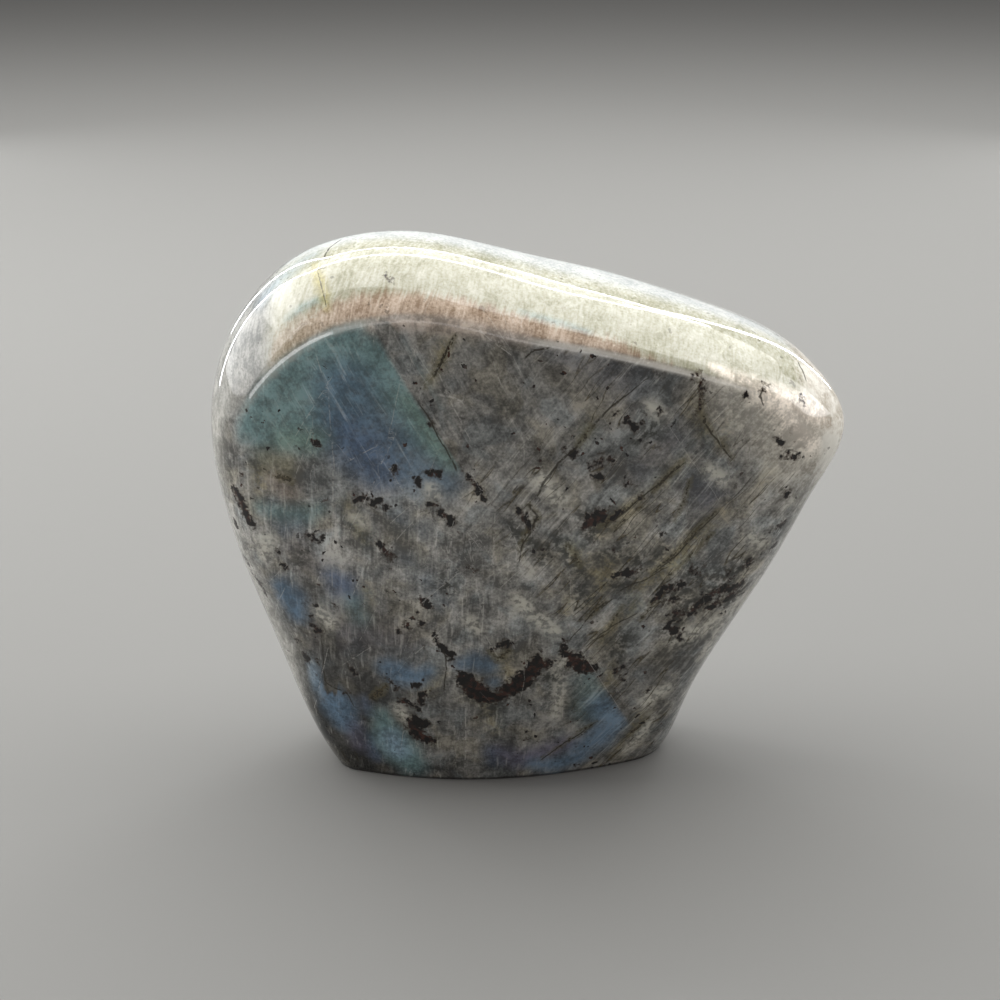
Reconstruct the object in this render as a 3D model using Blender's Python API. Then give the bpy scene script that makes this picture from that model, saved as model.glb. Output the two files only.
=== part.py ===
"""Labradorite freeform: one hand-polished stone that stands on a sawn flat base.

The stone is what a lapidary leaves after a few broad cuts. A front face and a back face, each
gently domed, meet a rounded rim that follows the outline, and the whole is cut off level below.
The frame has +X along the length, -Y out of the front face and +Z up, with the origin in the
base plane under the middle of the stone. Sizes are in millimetres until the mesh is finished.
"""

import math

import bmesh
import bpy
import numpy as np
from mathutils import Matrix

MM = 0.001
STONE = "labradorite_stone"

# Outline of the rim as seen from the front, from the right tip over the top to the left and back.
# A row is (x, z, front inset, back inset, arris). An inset is how far the rim has drawn in from
# the outline where it meets that face, so a large inset is a broad, strongly rounded edge. The
# arris is how far the edge between face and rim is polished over: small is crisp, large is soft.
OUTLINE = (
    (48.5, 60.2, 4.0, 4.0, 4.5),    # right tip
    (44.0, 68.2, 5.0, 5.0, 3.0),
    (34.0, 74.9, 5.8, 6.0, 1.8),
    (17.0, 81.0, 6.1, 7.0, 1.6),    # long slope of the top
    (6.0, 83.8, 6.5, 7.0, 1.6),
    (-5.0, 86.5, 7.4, 7.5, 1.6),
    (-18.0, 88.8, 8.3, 7.5, 1.6),   # highest stretch
    (-32.0, 86.3, 9.0, 7.5, 1.6),
    (-41.6, 78.9, 8.2, 6.5, 1.8),   # left shoulder
    (-46.8, 69.0, 6.0, 5.0, 2.2),
    (-48.4, 57.0, 4.2, 4.0, 3.0),
    (-46.5, 42.0, 3.8, 4.0, 3.5),   # left flank
    (-42.4, 27.0, 3.6, 4.5, 3.0),
    (-38.6, 15.0, 3.4, 4.0, 2.0),
    (-31.4, -1.0, 1.8, 2.5, 2.0),
    (-17.0, -9.5, 1.2, 1.5, 1.6),   # below the base plane, cut away
    (6.0, -9.5, 1.2, 1.5, 1.6),
    (22.6, -1.0, 1.6, 3.0, 3.0),
    (28.4, 14.0, 2.6, 3.5, 4.0),    # right flank
    (39.0, 36.0, 3.0, 3.5, 4.5),
    (44.9, 50.0, 3.6, 3.5, 4.5),
)
CENTRE = (0.0, 0.0, 44.0)       # the point that the surface is placed from, well inside

# Domed faces. Each is (half thickness at the crown, x of the crown line at the foot and at the
# crown, z of the crown, bow across the face at the foot and at the crown, bow up the face).
FRONT_FACE = (17.5, -9.0, -1.0, 55.0, 0.0072, 0.0034, 0.0022)
BACK_FACE = (17.5, -4.0, 2.0, 50.0, 0.0064, 0.0034, 0.0026)

# Shallow flat ground on the front of the left flank, near the foot.
FLAT_POINT = (-32.8, -10.6, 18.0)
FLAT_NORMAL = (-0.62, -0.78, -0.12)
FLAT_HOLLOW = 0.008             # how fast the flat runs out above and below its middle

RIM_POWER = 2.5                 # fullness of the rim's section: 2 is a plain bullnose
FLAT_BLEND = 0.8                # the same for the edge of the ground flat
WAVE_HEIGHT = 0.04              # slight unevenness left by polishing by hand
WAVE_LENGTH = 31.0

BASE_BEVEL = 0.5                # small bevel round the sawn base
STEPS_PER_ROW = 4               # segments between two rows of the outline
RINGS = 40                      # rings from the middle of the front face to that of the back
FACE_SHARE = 0.30               # share of the rings on each face; the rest lie on the rim


def closed_spline(rows, places):
    """Points at the given places on the closed cubic spline through evenly numbered rows."""
    count = len(rows)
    system = 4.0 * np.eye(count) + np.roll(np.eye(count), 1, 1) + np.roll(np.eye(count), -1, 1)
    bends = np.linalg.solve(
        system, 6.0 * (np.roll(rows, -1, 0) - 2.0 * rows + np.roll(rows, 1, 0)))
    start = np.floor(places).astype(int)
    b = (places - start)[:, None]
    a = 1.0 - b
    start = start % count
    after = (start + 1) % count
    return (a * rows[start] + b * rows[after]
            + ((a ** 3 - a) * bends[start] + (b ** 3 - b) * bends[after]) / 6.0)


def smooth_max(a, b, blend):
    """The larger of two values, rounded over where they are within blend of each other."""
    overlap = np.clip(blend - np.abs(a - b), 0.0, None)
    return np.maximum(a, b) + overlap * overlap / (4.0 * blend)


def face_depth(x, z, face):
    """Distance of a domed face from the middle plane, more strongly bowed towards the foot."""
    half, foot_x, crown_x, crown_z, foot_bow, crown_bow, bow_up = face
    height = z / crown_z
    middle = foot_x + (crown_x - foot_x) * height
    bow = foot_bow + (crown_bow - foot_bow) * height
    return half - bow * (x - middle) ** 2 - bow_up * (z - crown_z) ** 2


def outside_by(points, radius, front_inset, back_inset, blend):
    """How far each point lies outside the stone; negative inside."""
    x, y, z = points.T
    front = face_depth(x, z, FRONT_FACE)
    back = face_depth(x, z, BACK_FACE)
    reach = np.where(y < 0.0, -y / np.maximum(front, 1.0), y / np.maximum(back, 1.0))
    inset = np.where(y < 0.0, front_inset, back_inset) * reach ** RIM_POWER
    rim = np.hypot(x - CENTRE[0], z - CENTRE[2]) - (radius - inset)
    flat_normal = np.array(FLAT_NORMAL) / np.linalg.norm(FLAT_NORMAL)
    flat = (points - FLAT_POINT) @ flat_normal - FLAT_HOLLOW * (z - FLAT_POINT[2]) ** 2
    faces = np.maximum(smooth_max(-y - front, flat, FLAT_BLEND), y - back)
    wave = (np.sin(2.0 * math.pi * (x + 0.6 * z) / WAVE_LENGTH)
            + np.sin(2.0 * math.pi * (z - 0.7 * x + 2.0 * y) / WAVE_LENGTH))
    return smooth_max(faces, rim, blend) + WAVE_HEIGHT * wave


def section_rays(share, angle, radius, front_inset, back_inset):
    """Directions from the centre that spread the rings over front face, rim and back face."""
    on_front = share < 0.5
    inset = np.where(on_front, front_inset, back_inset)
    across = np.minimum(np.minimum(share, 1.0 - share) / FACE_SHARE, 1.0)
    along = 2.0 * np.clip((share - FACE_SHARE) / (1.0 - 2.0 * FACE_SHARE), 0.0, 1.0) - 1.0
    on_rim = across >= 1.0
    reach = np.where(on_rim, radius - inset * np.abs(along) ** RIM_POWER, across * (radius - inset))
    x = reach * np.cos(angle)
    z = reach * np.sin(angle)
    front = face_depth(CENTRE[0] + x, CENTRE[2] + z, FRONT_FACE)
    back = face_depth(CENTRE[0] + x, CENTRE[2] + z, BACK_FACE)
    rays = np.stack([x, np.where(on_front, front, back) * along, z], axis=1)
    return rays / np.linalg.norm(rays, axis=1)[:, None]


def stone_surface(sphere):
    """Move the points of a unit sphere with its poles on Y to the polished surface."""
    turn = np.arctan2(sphere[:, 2], sphere[:, 0]) / (2.0 * math.pi)
    share = np.arccos(np.clip(-sphere[:, 1], -1.0, 1.0)) / math.pi
    x, z, front_inset, back_inset, blend = closed_spline(np.array(OUTLINE), turn * len(OUTLINE)).T
    angle = np.arctan2(z - CENTRE[2], x - CENTRE[0])
    radius = np.hypot(x - CENTRE[0], z - CENTRE[2])
    rays = section_rays(share, angle, radius, front_inset, back_inset)
    near = np.zeros(len(rays))
    far = np.full(len(rays), 1.5 * radius.max())
    for _ in range(40):
        middle = 0.5 * (near + far)
        points = CENTRE + rays * middle[:, None]
        outside = outside_by(points, radius, front_inset, back_inset, blend) > 0.0
        far = np.where(outside, middle, far)
        near = np.where(outside, near, middle)
    return CENTRE + rays * near[:, None]


def saw_base(mesh):
    """Cut the stone off level, and bevel the edge of the cut in two narrow steps."""
    everything = mesh.verts[:] + mesh.edges[:] + mesh.faces[:]
    bmesh.ops.bisect_plane(mesh, geom=everything, dist=0.05, plane_co=(0.0, 0.0, BASE_BEVEL),
                           plane_no=(0.0, 0.0, -1.0), clear_outer=True)
    edge_loop = [edge for edge in mesh.edges if edge.is_boundary]
    for height, inset in ((0.35 * BASE_BEVEL, 0.3 * BASE_BEVEL), (0.0, 0.7 * BASE_BEVEL)):
        grown = bmesh.ops.extrude_edge_only(mesh, edges=edge_loop)["geom"]
        verts = [item for item in grown if isinstance(item, bmesh.types.BMVert)]
        edges = [item for item in grown if isinstance(item, bmesh.types.BMEdge)]
        edge_loop = [edge for edge in edges if edge.is_boundary]
        middle = sum((vert.co.xy for vert in verts), verts[0].co.xy * 0.0) / len(verts)
        for vert in verts:
            vert.co.xy -= inset * (vert.co.xy - middle).normalized()
            vert.co.z = height
    bmesh.ops.contextual_create(mesh, geom=edge_loop)


def labradorite():
    """Grey feldspar under a high polish."""
    colour = (0.16, 0.17, 0.18, 1.0)
    material = bpy.data.materials.new("labradorite")
    material.diffuse_color = colour
    material.use_nodes = True
    shader = material.node_tree.nodes["Principled BSDF"]
    shader.inputs["Base Color"].default_value = colour
    shader.inputs["Roughness"].default_value = 0.15
    shader.inputs["Metallic"].default_value = 0.0
    return material


def stone(collection):
    """A sphere moved to the polished surface and sawn off at the base."""
    mesh = bmesh.new()
    bmesh.ops.create_uvsphere(mesh, u_segments=STEPS_PER_ROW * len(OUTLINE), v_segments=RINGS,
                              radius=1.0, matrix=Matrix.Rotation(math.radians(90.0), 4, "X"))
    sphere = np.array([vert.co[:] for vert in mesh.verts])
    for vert, place in zip(mesh.verts, stone_surface(sphere)):
        vert.co = place
    saw_base(mesh)
    bmesh.ops.recalc_face_normals(mesh, faces=mesh.faces)
    bmesh.ops.scale(mesh, vec=(MM, MM, MM), verts=mesh.verts)
    data = bpy.data.meshes.new(STONE)
    mesh.to_mesh(data)
    mesh.free()
    data.materials.append(labradorite())
    data.shade_smooth()
    data.set_sharp_from_angle(angle=math.radians(35.0))
    collection.objects.link(bpy.data.objects.new(STONE, data))


def build():
    for item in list(bpy.data.objects):
        bpy.data.objects.remove(item, do_unlink=True)
    collection = bpy.data.collections.new("labradorite_freeform")
    bpy.context.scene.collection.children.link(collection)
    stone(collection)


build()
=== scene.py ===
"""Labradorite freeform: the finish of one hand-polished stone on its sawn base.

The stone's surface is worked out again at a finer pitch than the frame's solid and takes its
place. What the stone shows (blue flash, black grains, olive veins, cracks and fibres) is laid out
below as strokes on its skin. Sizes are in millimetres until a mesh is finished.
"""

import math

import bmesh
import bpy
import numpy as np
from mathutils import Matrix, Vector
from mathutils.bvhtree import BVHTree


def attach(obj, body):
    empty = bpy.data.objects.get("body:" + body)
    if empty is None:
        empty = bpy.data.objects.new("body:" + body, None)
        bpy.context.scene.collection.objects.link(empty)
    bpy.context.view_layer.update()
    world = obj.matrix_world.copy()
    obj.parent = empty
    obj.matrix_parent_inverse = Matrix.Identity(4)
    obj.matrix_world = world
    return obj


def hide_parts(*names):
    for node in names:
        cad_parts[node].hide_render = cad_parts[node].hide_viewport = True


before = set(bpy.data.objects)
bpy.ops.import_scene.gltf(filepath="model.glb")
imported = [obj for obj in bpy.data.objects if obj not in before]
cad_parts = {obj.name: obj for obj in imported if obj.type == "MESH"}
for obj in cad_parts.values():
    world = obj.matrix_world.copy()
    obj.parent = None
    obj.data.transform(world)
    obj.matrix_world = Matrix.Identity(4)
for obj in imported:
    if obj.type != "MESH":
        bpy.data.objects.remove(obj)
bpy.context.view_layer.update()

MM = 0.001
STONE = "labradorite_stone"

# ---------------------------------------------------------------------------------------------
# The polished surface, as the solid has it
# ---------------------------------------------------------------------------------------------

# A row of the outline is (x, z, front inset, back inset, arris), from the right tip over the top.
OUTLINE = (
    (48.5, 60.2, 4.0, 4.0, 4.5),    # right tip
    (44.0, 68.2, 5.0, 5.0, 3.0),
    (34.0, 74.9, 5.8, 6.0, 1.8),
    (17.0, 81.0, 6.1, 7.0, 1.6),    # long slope of the top
    (6.0, 83.8, 6.5, 7.0, 1.6),
    (-5.0, 86.5, 7.4, 7.5, 1.6),
    (-18.0, 88.8, 8.3, 7.5, 1.6),   # highest stretch
    (-32.0, 86.3, 9.0, 7.5, 1.6),
    (-41.6, 78.9, 8.2, 6.5, 1.8),   # left shoulder
    (-46.8, 69.0, 6.0, 5.0, 2.2),
    (-48.4, 57.0, 4.2, 4.0, 3.0),
    (-46.5, 42.0, 3.8, 4.0, 3.5),   # left flank
    (-42.4, 27.0, 3.6, 4.5, 3.0),
    (-38.6, 15.0, 3.4, 4.0, 2.0),
    (-31.4, -1.0, 1.8, 2.5, 2.0),
    (-17.0, -9.5, 1.2, 1.5, 1.6),   # below the base plane, cut away
    (6.0, -9.5, 1.2, 1.5, 1.6),
    (22.6, -1.0, 1.6, 3.0, 3.0),
    (28.4, 14.0, 2.6, 3.5, 4.0),    # right flank
    (39.0, 36.0, 3.0, 3.5, 4.5),
    (44.9, 50.0, 3.6, 3.5, 4.5),
)
CENTRE = (0.0, 0.0, 44.0)       # the point that the surface is placed from, well inside

# Domed faces. Each is (half thickness at the crown, x of the crown line at the foot and at the
# crown, z of the crown, bow across the face at the foot and at the crown, bow up the face).
FRONT_FACE = (17.5, -9.0, -1.0, 55.0, 0.0072, 0.0034, 0.0022)
BACK_FACE = (17.5, -4.0, 2.0, 50.0, 0.0064, 0.0034, 0.0026)

# Shallow flat ground on the front of the left flank, near the foot.
FLAT_POINT = (-32.8, -10.6, 18.0)
FLAT_NORMAL = (-0.62, -0.78, -0.12)
FLAT_HOLLOW = 0.008

RIM_POWER = 2.5                 # fullness of the rim's section: 2 is a plain bullnose
FLAT_BLEND = 0.8                # the same for the edge of the ground flat
WAVE_HEIGHT = 0.04              # slight unevenness left by polishing by hand
WAVE_LENGTH = 31.0
BASE_BEVEL = 0.5                # small bevel round the sawn base
BEVEL_STEPS = ((0.35, 0.3), (0.0, 0.7))     # height and inset of each step, as shares of it
SHARP_ANGLE = 35.0              # edges with a wider turn than this, in degrees, look sharp

STEPS_PER_ROW = 6               # segments between two rows of the outline, before they are divided
RINGS = 84                      # rings from the middle of the front face to that of the back
CUTS = 2                        # cuts across each of these segments and rings
FRONT_SHARE = 0.42              # share of the rings on the front face, which shows most
BACK_SHARE = 0.28
FAR_OUTSIDE = 1.5               # a point surely outside, as a share of the widest radius
HALVINGS = 40                   # steps of the search for the surface along a ray


def closed_spline(rows, places):
    """Points at the given places on the closed cubic spline through evenly numbered rows."""
    count = len(rows)
    system = 4.0 * np.eye(count) + np.roll(np.eye(count), 1, 1) + np.roll(np.eye(count), -1, 1)
    bends = np.linalg.solve(
        system, 6.0 * (np.roll(rows, -1, 0) - 2.0 * rows + np.roll(rows, 1, 0)))
    start = np.floor(places).astype(int)
    b = (places - start)[:, None]
    a = 1.0 - b
    start = start % count
    after = (start + 1) % count
    return (a * rows[start] + b * rows[after]
            + ((a ** 3 - a) * bends[start] + (b ** 3 - b) * bends[after]) / 6.0)


def smooth_max(a, b, blend):
    """The larger of two values, rounded over where they are within blend of each other."""
    overlap = np.clip(blend - np.abs(a - b), 0.0, None)
    return np.maximum(a, b) + overlap * overlap / (4.0 * blend)


def face_depth(x, z, face):
    """Distance of a domed face from the middle plane, more strongly bowed towards the foot."""
    half, foot_x, crown_x, crown_z, foot_bow, crown_bow, bow_up = face
    height = z / crown_z
    middle = foot_x + (crown_x - foot_x) * height
    bow = foot_bow + (crown_bow - foot_bow) * height
    return half - bow * (x - middle) ** 2 - bow_up * (z - crown_z) ** 2


def outside_by(points, radius, front_inset, back_inset, blend):
    """How far each point lies outside the stone; negative inside."""
    x, y, z = points.T
    front = face_depth(x, z, FRONT_FACE)
    back = face_depth(x, z, BACK_FACE)
    reach = np.where(y < 0.0, -y / np.maximum(front, 1.0), y / np.maximum(back, 1.0))
    inset = np.where(y < 0.0, front_inset, back_inset) * reach ** RIM_POWER
    rim = np.hypot(x - CENTRE[0], z - CENTRE[2]) - (radius - inset)
    flat_normal = np.array(FLAT_NORMAL) / np.linalg.norm(FLAT_NORMAL)
    flat = (points - FLAT_POINT) @ flat_normal - FLAT_HOLLOW * (z - FLAT_POINT[2]) ** 2
    faces = np.maximum(smooth_max(-y - front, flat, FLAT_BLEND), y - back)
    wave = (np.sin(2.0 * math.pi * (x + 0.6 * z) / WAVE_LENGTH)
            + np.sin(2.0 * math.pi * (z - 0.7 * x + 2.0 * y) / WAVE_LENGTH))
    return smooth_max(faces, rim, blend) + WAVE_HEIGHT * wave


def section_rays(share, angle, radius, front_inset, back_inset):
    """Directions from the centre that spread the rings over front face, rim and back face."""
    along = 2.0 * np.clip((share - FRONT_SHARE) / (1.0 - FRONT_SHARE - BACK_SHARE), 0.0, 1.0) - 1.0
    on_front = along < 0.0
    inset = np.where(on_front, front_inset, back_inset)
    across = np.minimum(np.where(on_front, share / FRONT_SHARE, (1.0 - share) / BACK_SHARE), 1.0)
    on_rim = across >= 1.0
    reach = np.where(on_rim, radius - inset * np.abs(along) ** RIM_POWER, across * (radius - inset))
    x = reach * np.cos(angle)
    z = reach * np.sin(angle)
    front = face_depth(CENTRE[0] + x, CENTRE[2] + z, FRONT_FACE)
    back = face_depth(CENTRE[0] + x, CENTRE[2] + z, BACK_FACE)
    rays = np.stack([x, np.where(on_front, front, back) * along, z], axis=1)
    return rays / np.linalg.norm(rays, axis=1)[:, None]


def stone_surface(sphere):
    """Move the points of a sphere with its poles on Y to the polished surface."""
    sphere = sphere / np.linalg.norm(sphere, axis=1)[:, None]
    turn = np.arctan2(sphere[:, 2], sphere[:, 0]) / (2.0 * math.pi)
    share = np.arccos(np.clip(-sphere[:, 1], -1.0, 1.0)) / math.pi
    x, z, front_inset, back_inset, blend = closed_spline(np.array(OUTLINE), turn * len(OUTLINE)).T
    angle = np.arctan2(z - CENTRE[2], x - CENTRE[0])
    radius = np.hypot(x - CENTRE[0], z - CENTRE[2])
    rays = section_rays(share, angle, radius, front_inset, back_inset)
    near = np.zeros(len(rays))
    far = np.full(len(rays), FAR_OUTSIDE * radius.max())
    for _ in range(HALVINGS):
        middle = 0.5 * (near + far)
        points = CENTRE + rays * middle[:, None]
        outside = outside_by(points, radius, front_inset, back_inset, blend) > 0.0
        far = np.where(outside, middle, far)
        near = np.where(outside, near, middle)
    return CENTRE + rays * near[:, None]


def saw_base(mesh):
    """Cut the stone off level, and bevel the edge of the cut in two narrow steps."""
    everything = mesh.verts[:] + mesh.edges[:] + mesh.faces[:]
    bmesh.ops.bisect_plane(mesh, geom=everything, dist=0.05, plane_co=(0.0, 0.0, BASE_BEVEL),
                           plane_no=(0.0, 0.0, -1.0), clear_outer=True)
    edge_loop = [edge for edge in mesh.edges if edge.is_boundary]
    for height, inset in BEVEL_STEPS:
        grown = bmesh.ops.extrude_edge_only(mesh, edges=edge_loop)["geom"]
        verts = [item for item in grown if isinstance(item, bmesh.types.BMVert)]
        edges = [item for item in grown if isinstance(item, bmesh.types.BMEdge)]
        edge_loop = [edge for edge in edges if edge.is_boundary]
        middle = sum((vert.co.xy for vert in verts), verts[0].co.xy * 0.0) / len(verts)
        for vert in verts:
            vert.co.xy -= inset * BASE_BEVEL * (vert.co.xy - middle).normalized()
            vert.co.z = height * BASE_BEVEL
    bmesh.ops.contextual_create(mesh, geom=edge_loop)


# ---------------------------------------------------------------------------------------------
# Where the camera stands, and how a mark is put on the stone
# ---------------------------------------------------------------------------------------------

CAMERA_PLACE = (-4.1, -208.56, 143.27)
CAMERA_TILT = 25.0              # degrees below level
SENSOR = 36.0
LENS = 52.2
FRAME = 1000.0                  # the frame is this many units across and down
BEHIND = 100.0                  # a plane well behind the stone, from which its back is marked

MARK_REACH = 3.0                # how far from a mark its distance is worked out
HAIR_REACH = 2.5                # the same for a hairline
HAIR_SIDE = 1.0                 # a vertex further than this from a hairline counts as past its end
UNMARKED = 5.0                  # distance given to what lies out of reach
UNMARKED_WIDTH = 0.1
NOT_AN_END = -9.0               # overrun at a point where a hairline goes on
TINY = 1e-9                     # keeps a dot, which has no length, from being divided by

# Marks on the front are places in the camera's frame, (across, down), each with a half width in
# mm. They are put on the stone along the line of sight, so that they lie on its skin. Marks on
# the back are (x, z, half width), put on along Y.


def from_camera(across, down):
    """The line of sight through a place in the frame: where it starts and where it goes."""
    pitch = math.radians(CAMERA_TILT)
    ahead = Vector((0.0, math.cos(pitch), -math.sin(pitch)))
    up = Vector((0.0, math.sin(pitch), math.cos(pitch)))
    right = Vector((1.0, 0.0, 0.0))
    step = SENSOR / LENS / FRAME
    way = ahead + right * (across - FRAME / 2) * step - up * (down - FRAME / 2) * step
    return Vector(CAMERA_PLACE), way.normalized()


def from_behind(x, z):
    """The line along Y onto the back of the stone."""
    return Vector((x, BEHIND, z)), Vector((0.0, -1.0, 0.0))


def dots(places):
    """Strokes of one point each."""
    return tuple((place,) for place in places)


def runs(points):
    """Each pair of neighbours along a line of points."""
    return list(zip(points[:-1], points[1:]))


def laid(skin, strokes, line):
    """Strokes as lists of (point on the skin, half width)."""
    result = []
    for stroke in strokes:
        points = []
        for first, second, half_width in stroke:
            hit = skin.ray_cast(*line(first, second))[0]
            if hit is None:
                raise ValueError(f"a mark at {first}, {second} misses the stone")
            points.append((np.array(hit), half_width))
        if len(points) == 1:
            points = points * 2
        result.append(points)
    return result


def scattered(skin, line, count, middle, reach, length, seed):
    """Faint straight scratches at random, close to the directions of the fibres."""
    draw = np.random.default_rng(seed)
    strokes = []
    for _ in range(count):
        fibre = FIBRE_TURNS[draw.integers(len(FIBRE_TURNS))]
        turn = math.radians(fibre + draw.normal(0.0, FAINT_SPREAD))
        start = np.array(middle) + np.array(reach) * draw.uniform(-1.0, 1.0, 2)
        run = np.array(length) * draw.uniform(*FAINT_LENGTHS) * (math.cos(turn), math.sin(turn))
        width = draw.uniform(*FAINT_WIDTHS)
        ends = [(*start, width), (*(start + run), width)]
        if all(skin.ray_cast(*line(first, second))[0] for first, second, _ in ends):
            strokes.append(ends)
    return laid(skin, strokes, line)


def reach_of(verts, stroke, margin):
    """Which vertices are near enough to a stroke to be touched by it."""
    ends = np.array([point for point, _ in stroke])
    middle = 0.5 * (ends.min(0) + ends.max(0))
    size = np.linalg.norm(ends - middle, axis=1).max() + max(width for _, width in stroke)
    return np.nonzero(((verts - middle) ** 2).sum(1) < (size + margin) ** 2)[0]


def edge_distance(verts, stroke):
    """Distance of each vertex from the edge of a stroke; negative inside it."""
    best = np.full(len(verts), np.inf)
    for (start, start_width), (end, end_width) in runs(stroke):
        run = end - start
        share = np.clip((verts - start) @ run / max(run @ run, TINY), 0.0, 1.0)
        gap = np.linalg.norm(verts - start - share[:, None] * run, axis=1)
        best = np.minimum(best, gap - start_width - share * (end_width - start_width))
    return best


def nearest_edge(verts, strokes, margin=MARK_REACH):
    """Distance from the edge of the nearest of many strokes, up to the margin."""
    best = np.full(len(verts), margin)
    for stroke in strokes:
        near = reach_of(verts, stroke, margin)
        best[near] = np.minimum(best[near], edge_distance(verts[near], stroke))
    return best


def softly(distance, softness):
    """1 well inside a stroke, 0 well outside it, over a soft edge."""
    share = np.clip(0.5 - distance / (2.0 * softness), 0.0, 1.0)
    return share * share * (3.0 - 2.0 * share)


def soft_cover(verts, strokes, softness):
    """How fully soft strokes cover each vertex, from 0 to 1."""
    return softly(nearest_edge(verts, strokes, softness + 0.1), softness)


def hairlines(verts, normals, strokes):
    """For the nearest hairline: distance to its side, overrun past its ends, and half width."""
    side = np.full(len(verts), UNMARKED)
    over = np.full(len(verts), UNMARKED)
    width = np.full(len(verts), UNMARKED_WIDTH)
    best = np.full(len(verts), HAIR_REACH)
    for stroke in strokes:
        near = reach_of(verts, stroke, HAIR_REACH)
        last = len(stroke) - 2
        for number, ((start, start_width), (end, end_width)) in enumerate(runs(stroke)):
            run = end - start
            length = np.linalg.norm(run)
            run = run / length
            rest = verts[near] - start
            along = rest @ run
            inside = np.clip(along, 0.0, length)
            gap = np.linalg.norm(rest - inside[:, None] * run, axis=1)
            closer = gap < best[near]
            found = near[closer]
            best[found] = gap[closer]
            across = np.cross(normals[found], run)
            side[found] = (rest[closer] * across).sum(1)
            before = -along[closer] if number == 0 else NOT_AN_END
            after = along[closer] - length if number == last else NOT_AN_END
            over[found] = np.maximum(np.maximum(before, after), gap[closer] - HAIR_SIDE)
            share = inside[closer] / length
            width[found] = start_width + share * (end_width - start_width)
    return np.stack([side, over, width], axis=1)


def side_of(verts, normals, stroke):
    """Which side of a stroke each vertex near it lies on, in mm; far from it, well to its left."""
    side, over, _ = hairlines(verts, normals, [stroke]).T
    return np.where(over < EDGE_END, side, -UNMARKED)


# ---------------------------------------------------------------------------------------------
# What the stone shows
# ---------------------------------------------------------------------------------------------

# Black grains with brown rims, as strokes, and the single small ones as dots.
GRAINS_FRONT = (
    ((461, 676, 0.7), (468, 683, 1.5), (477, 691, 1.8), (486, 698, 1.2)),                   # arc
    ((486, 700, 0.9), (499, 696, 0.9), (510, 689, 1.3), (522, 682, 1.5), (531, 671, 1.2),
     (538, 662, 1.2), (546, 665, 0.7)),
    ((564, 640, 0.2), (565, 651, 0.4), (572, 659, 1.0), (581, 666, 1.4), (593, 670, 0.7)),  # wedge
    ((411, 722, 0.7), (415, 731, 1.0), (424, 737, 1.1), (431, 741, 0.6)),                   # oval
    ((414, 718, 0.5), (422, 724, 0.9)),
    ((424, 692, 0.4), (420, 701, 0.35), (418, 709, 0.3)),
    ((437, 642, 0.2), (444, 649, 0.3), (451, 655, 0.6)),
    ((421, 600, 0.6), (426, 606, 0.55)),
    ((304, 653, 0.3), (308, 660, 0.35)),
    ((314, 625, 0.25), (318, 631, 0.45)),
    ((492, 648, 0.15), (500, 646, 0.25), (509, 643, 0.35)),
    ((528, 731, 0.12), (529, 736, 0.18)),
    ((617, 672, 0.35), (623, 667, 0.15)),
    ((617, 672, 0.3), (623, 681, 0.15)),
    ((379, 544, 0.35), (386, 551, 0.6), (392, 558, 0.4)),                                   # red streak
    ((234, 489, 0.5), (240, 500, 0.8), (246, 513, 0.7), (251, 524, 0.4)),                   # left edge
    ((244, 557, 0.3), (250, 566, 0.4)),
    ((254, 576, 0.3), (260, 583, 0.55), (267, 597, 0.2)),
    ((313, 440, 0.5), (318, 445, 0.4)),
    ((417, 480, 0.35), (419, 485, 0.3)),
    ((429, 475, 0.45), (438, 474, 0.4)),
    ((431, 504, 0.4), (438, 505, 0.3)),
    ((440, 511, 0.3), (446, 516, 0.4), (452, 523, 0.4)),
    ((465, 472, 0.1), (470, 480, 0.3), (478, 490, 0.35), (484, 499, 0.2)),
    ((584, 527, 0.5), (592, 521, 1.0), (600, 516, 0.9), (607, 511, 0.4)),
    ((612, 519, 0.3), (619, 512, 0.25)),
    ((519, 510, 0.1), (524, 520, 0.3), (531, 527, 0.2)),
    ((655, 600, 0.4), (662, 593, 0.5)),
    ((708, 610, 0.4), (716, 603, 0.6), (724, 600, 0.3)),
    ((745, 566, 0.3), (752, 560, 0.4)),
    ((357, 500, 0.35), (366, 497, 0.4)),
    ((372, 503, 0.35), (381, 500, 0.35)),
    ((470, 568, 0.3), (476, 571, 0.2)),
    ((573, 454, 0.35), (577, 452, 0.3)),
    ((601, 456, 0.25), (598, 465, 0.3)),
    ((595, 475, 0.2), (600, 478, 0.15)),
    ((616, 575, 0.25), (628, 573, 0.45), (642, 570, 0.25)),                                 # streak
    ((665, 587, 0.35), (673, 589, 0.5), (682, 585, 0.3)),                                   # crescent
    ((690, 613, 0.5), (701, 602, 0.6), (712, 594, 0.55), (722, 590, 0.7), (735, 587, 0.5),
     (743, 581, 0.3)),                                                                      # branching
    ((674, 611, 0.5), (681, 616, 0.5)),
    ((668, 626, 0.5), (676, 632, 0.7), (681, 640, 0.3)),
    ((728, 598, 0.6), (737, 590, 0.6)),
    ((662, 604, 0.2), (670, 600, 0.4), (680, 600, 0.3)),
    ((691, 568, 0.2), (697, 574, 0.25), (703, 569, 0.2)),
    ((727, 573, 0.2), (731, 577, 0.2)),
    ((779, 527, 0.5), (784, 522, 0.4)),
    ((787, 455, 0.6), (794, 458, 0.5)),
    ((777, 438, 0.2), (782, 446, 0.25)),
    ((698, 374, 0.3), (701, 388, 0.35), (699, 409, 0.2)),
    ((628, 421, 0.35), (636, 430, 0.4)),
    ((387, 277, 0.2), (395, 281, 0.25)),
)
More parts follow.
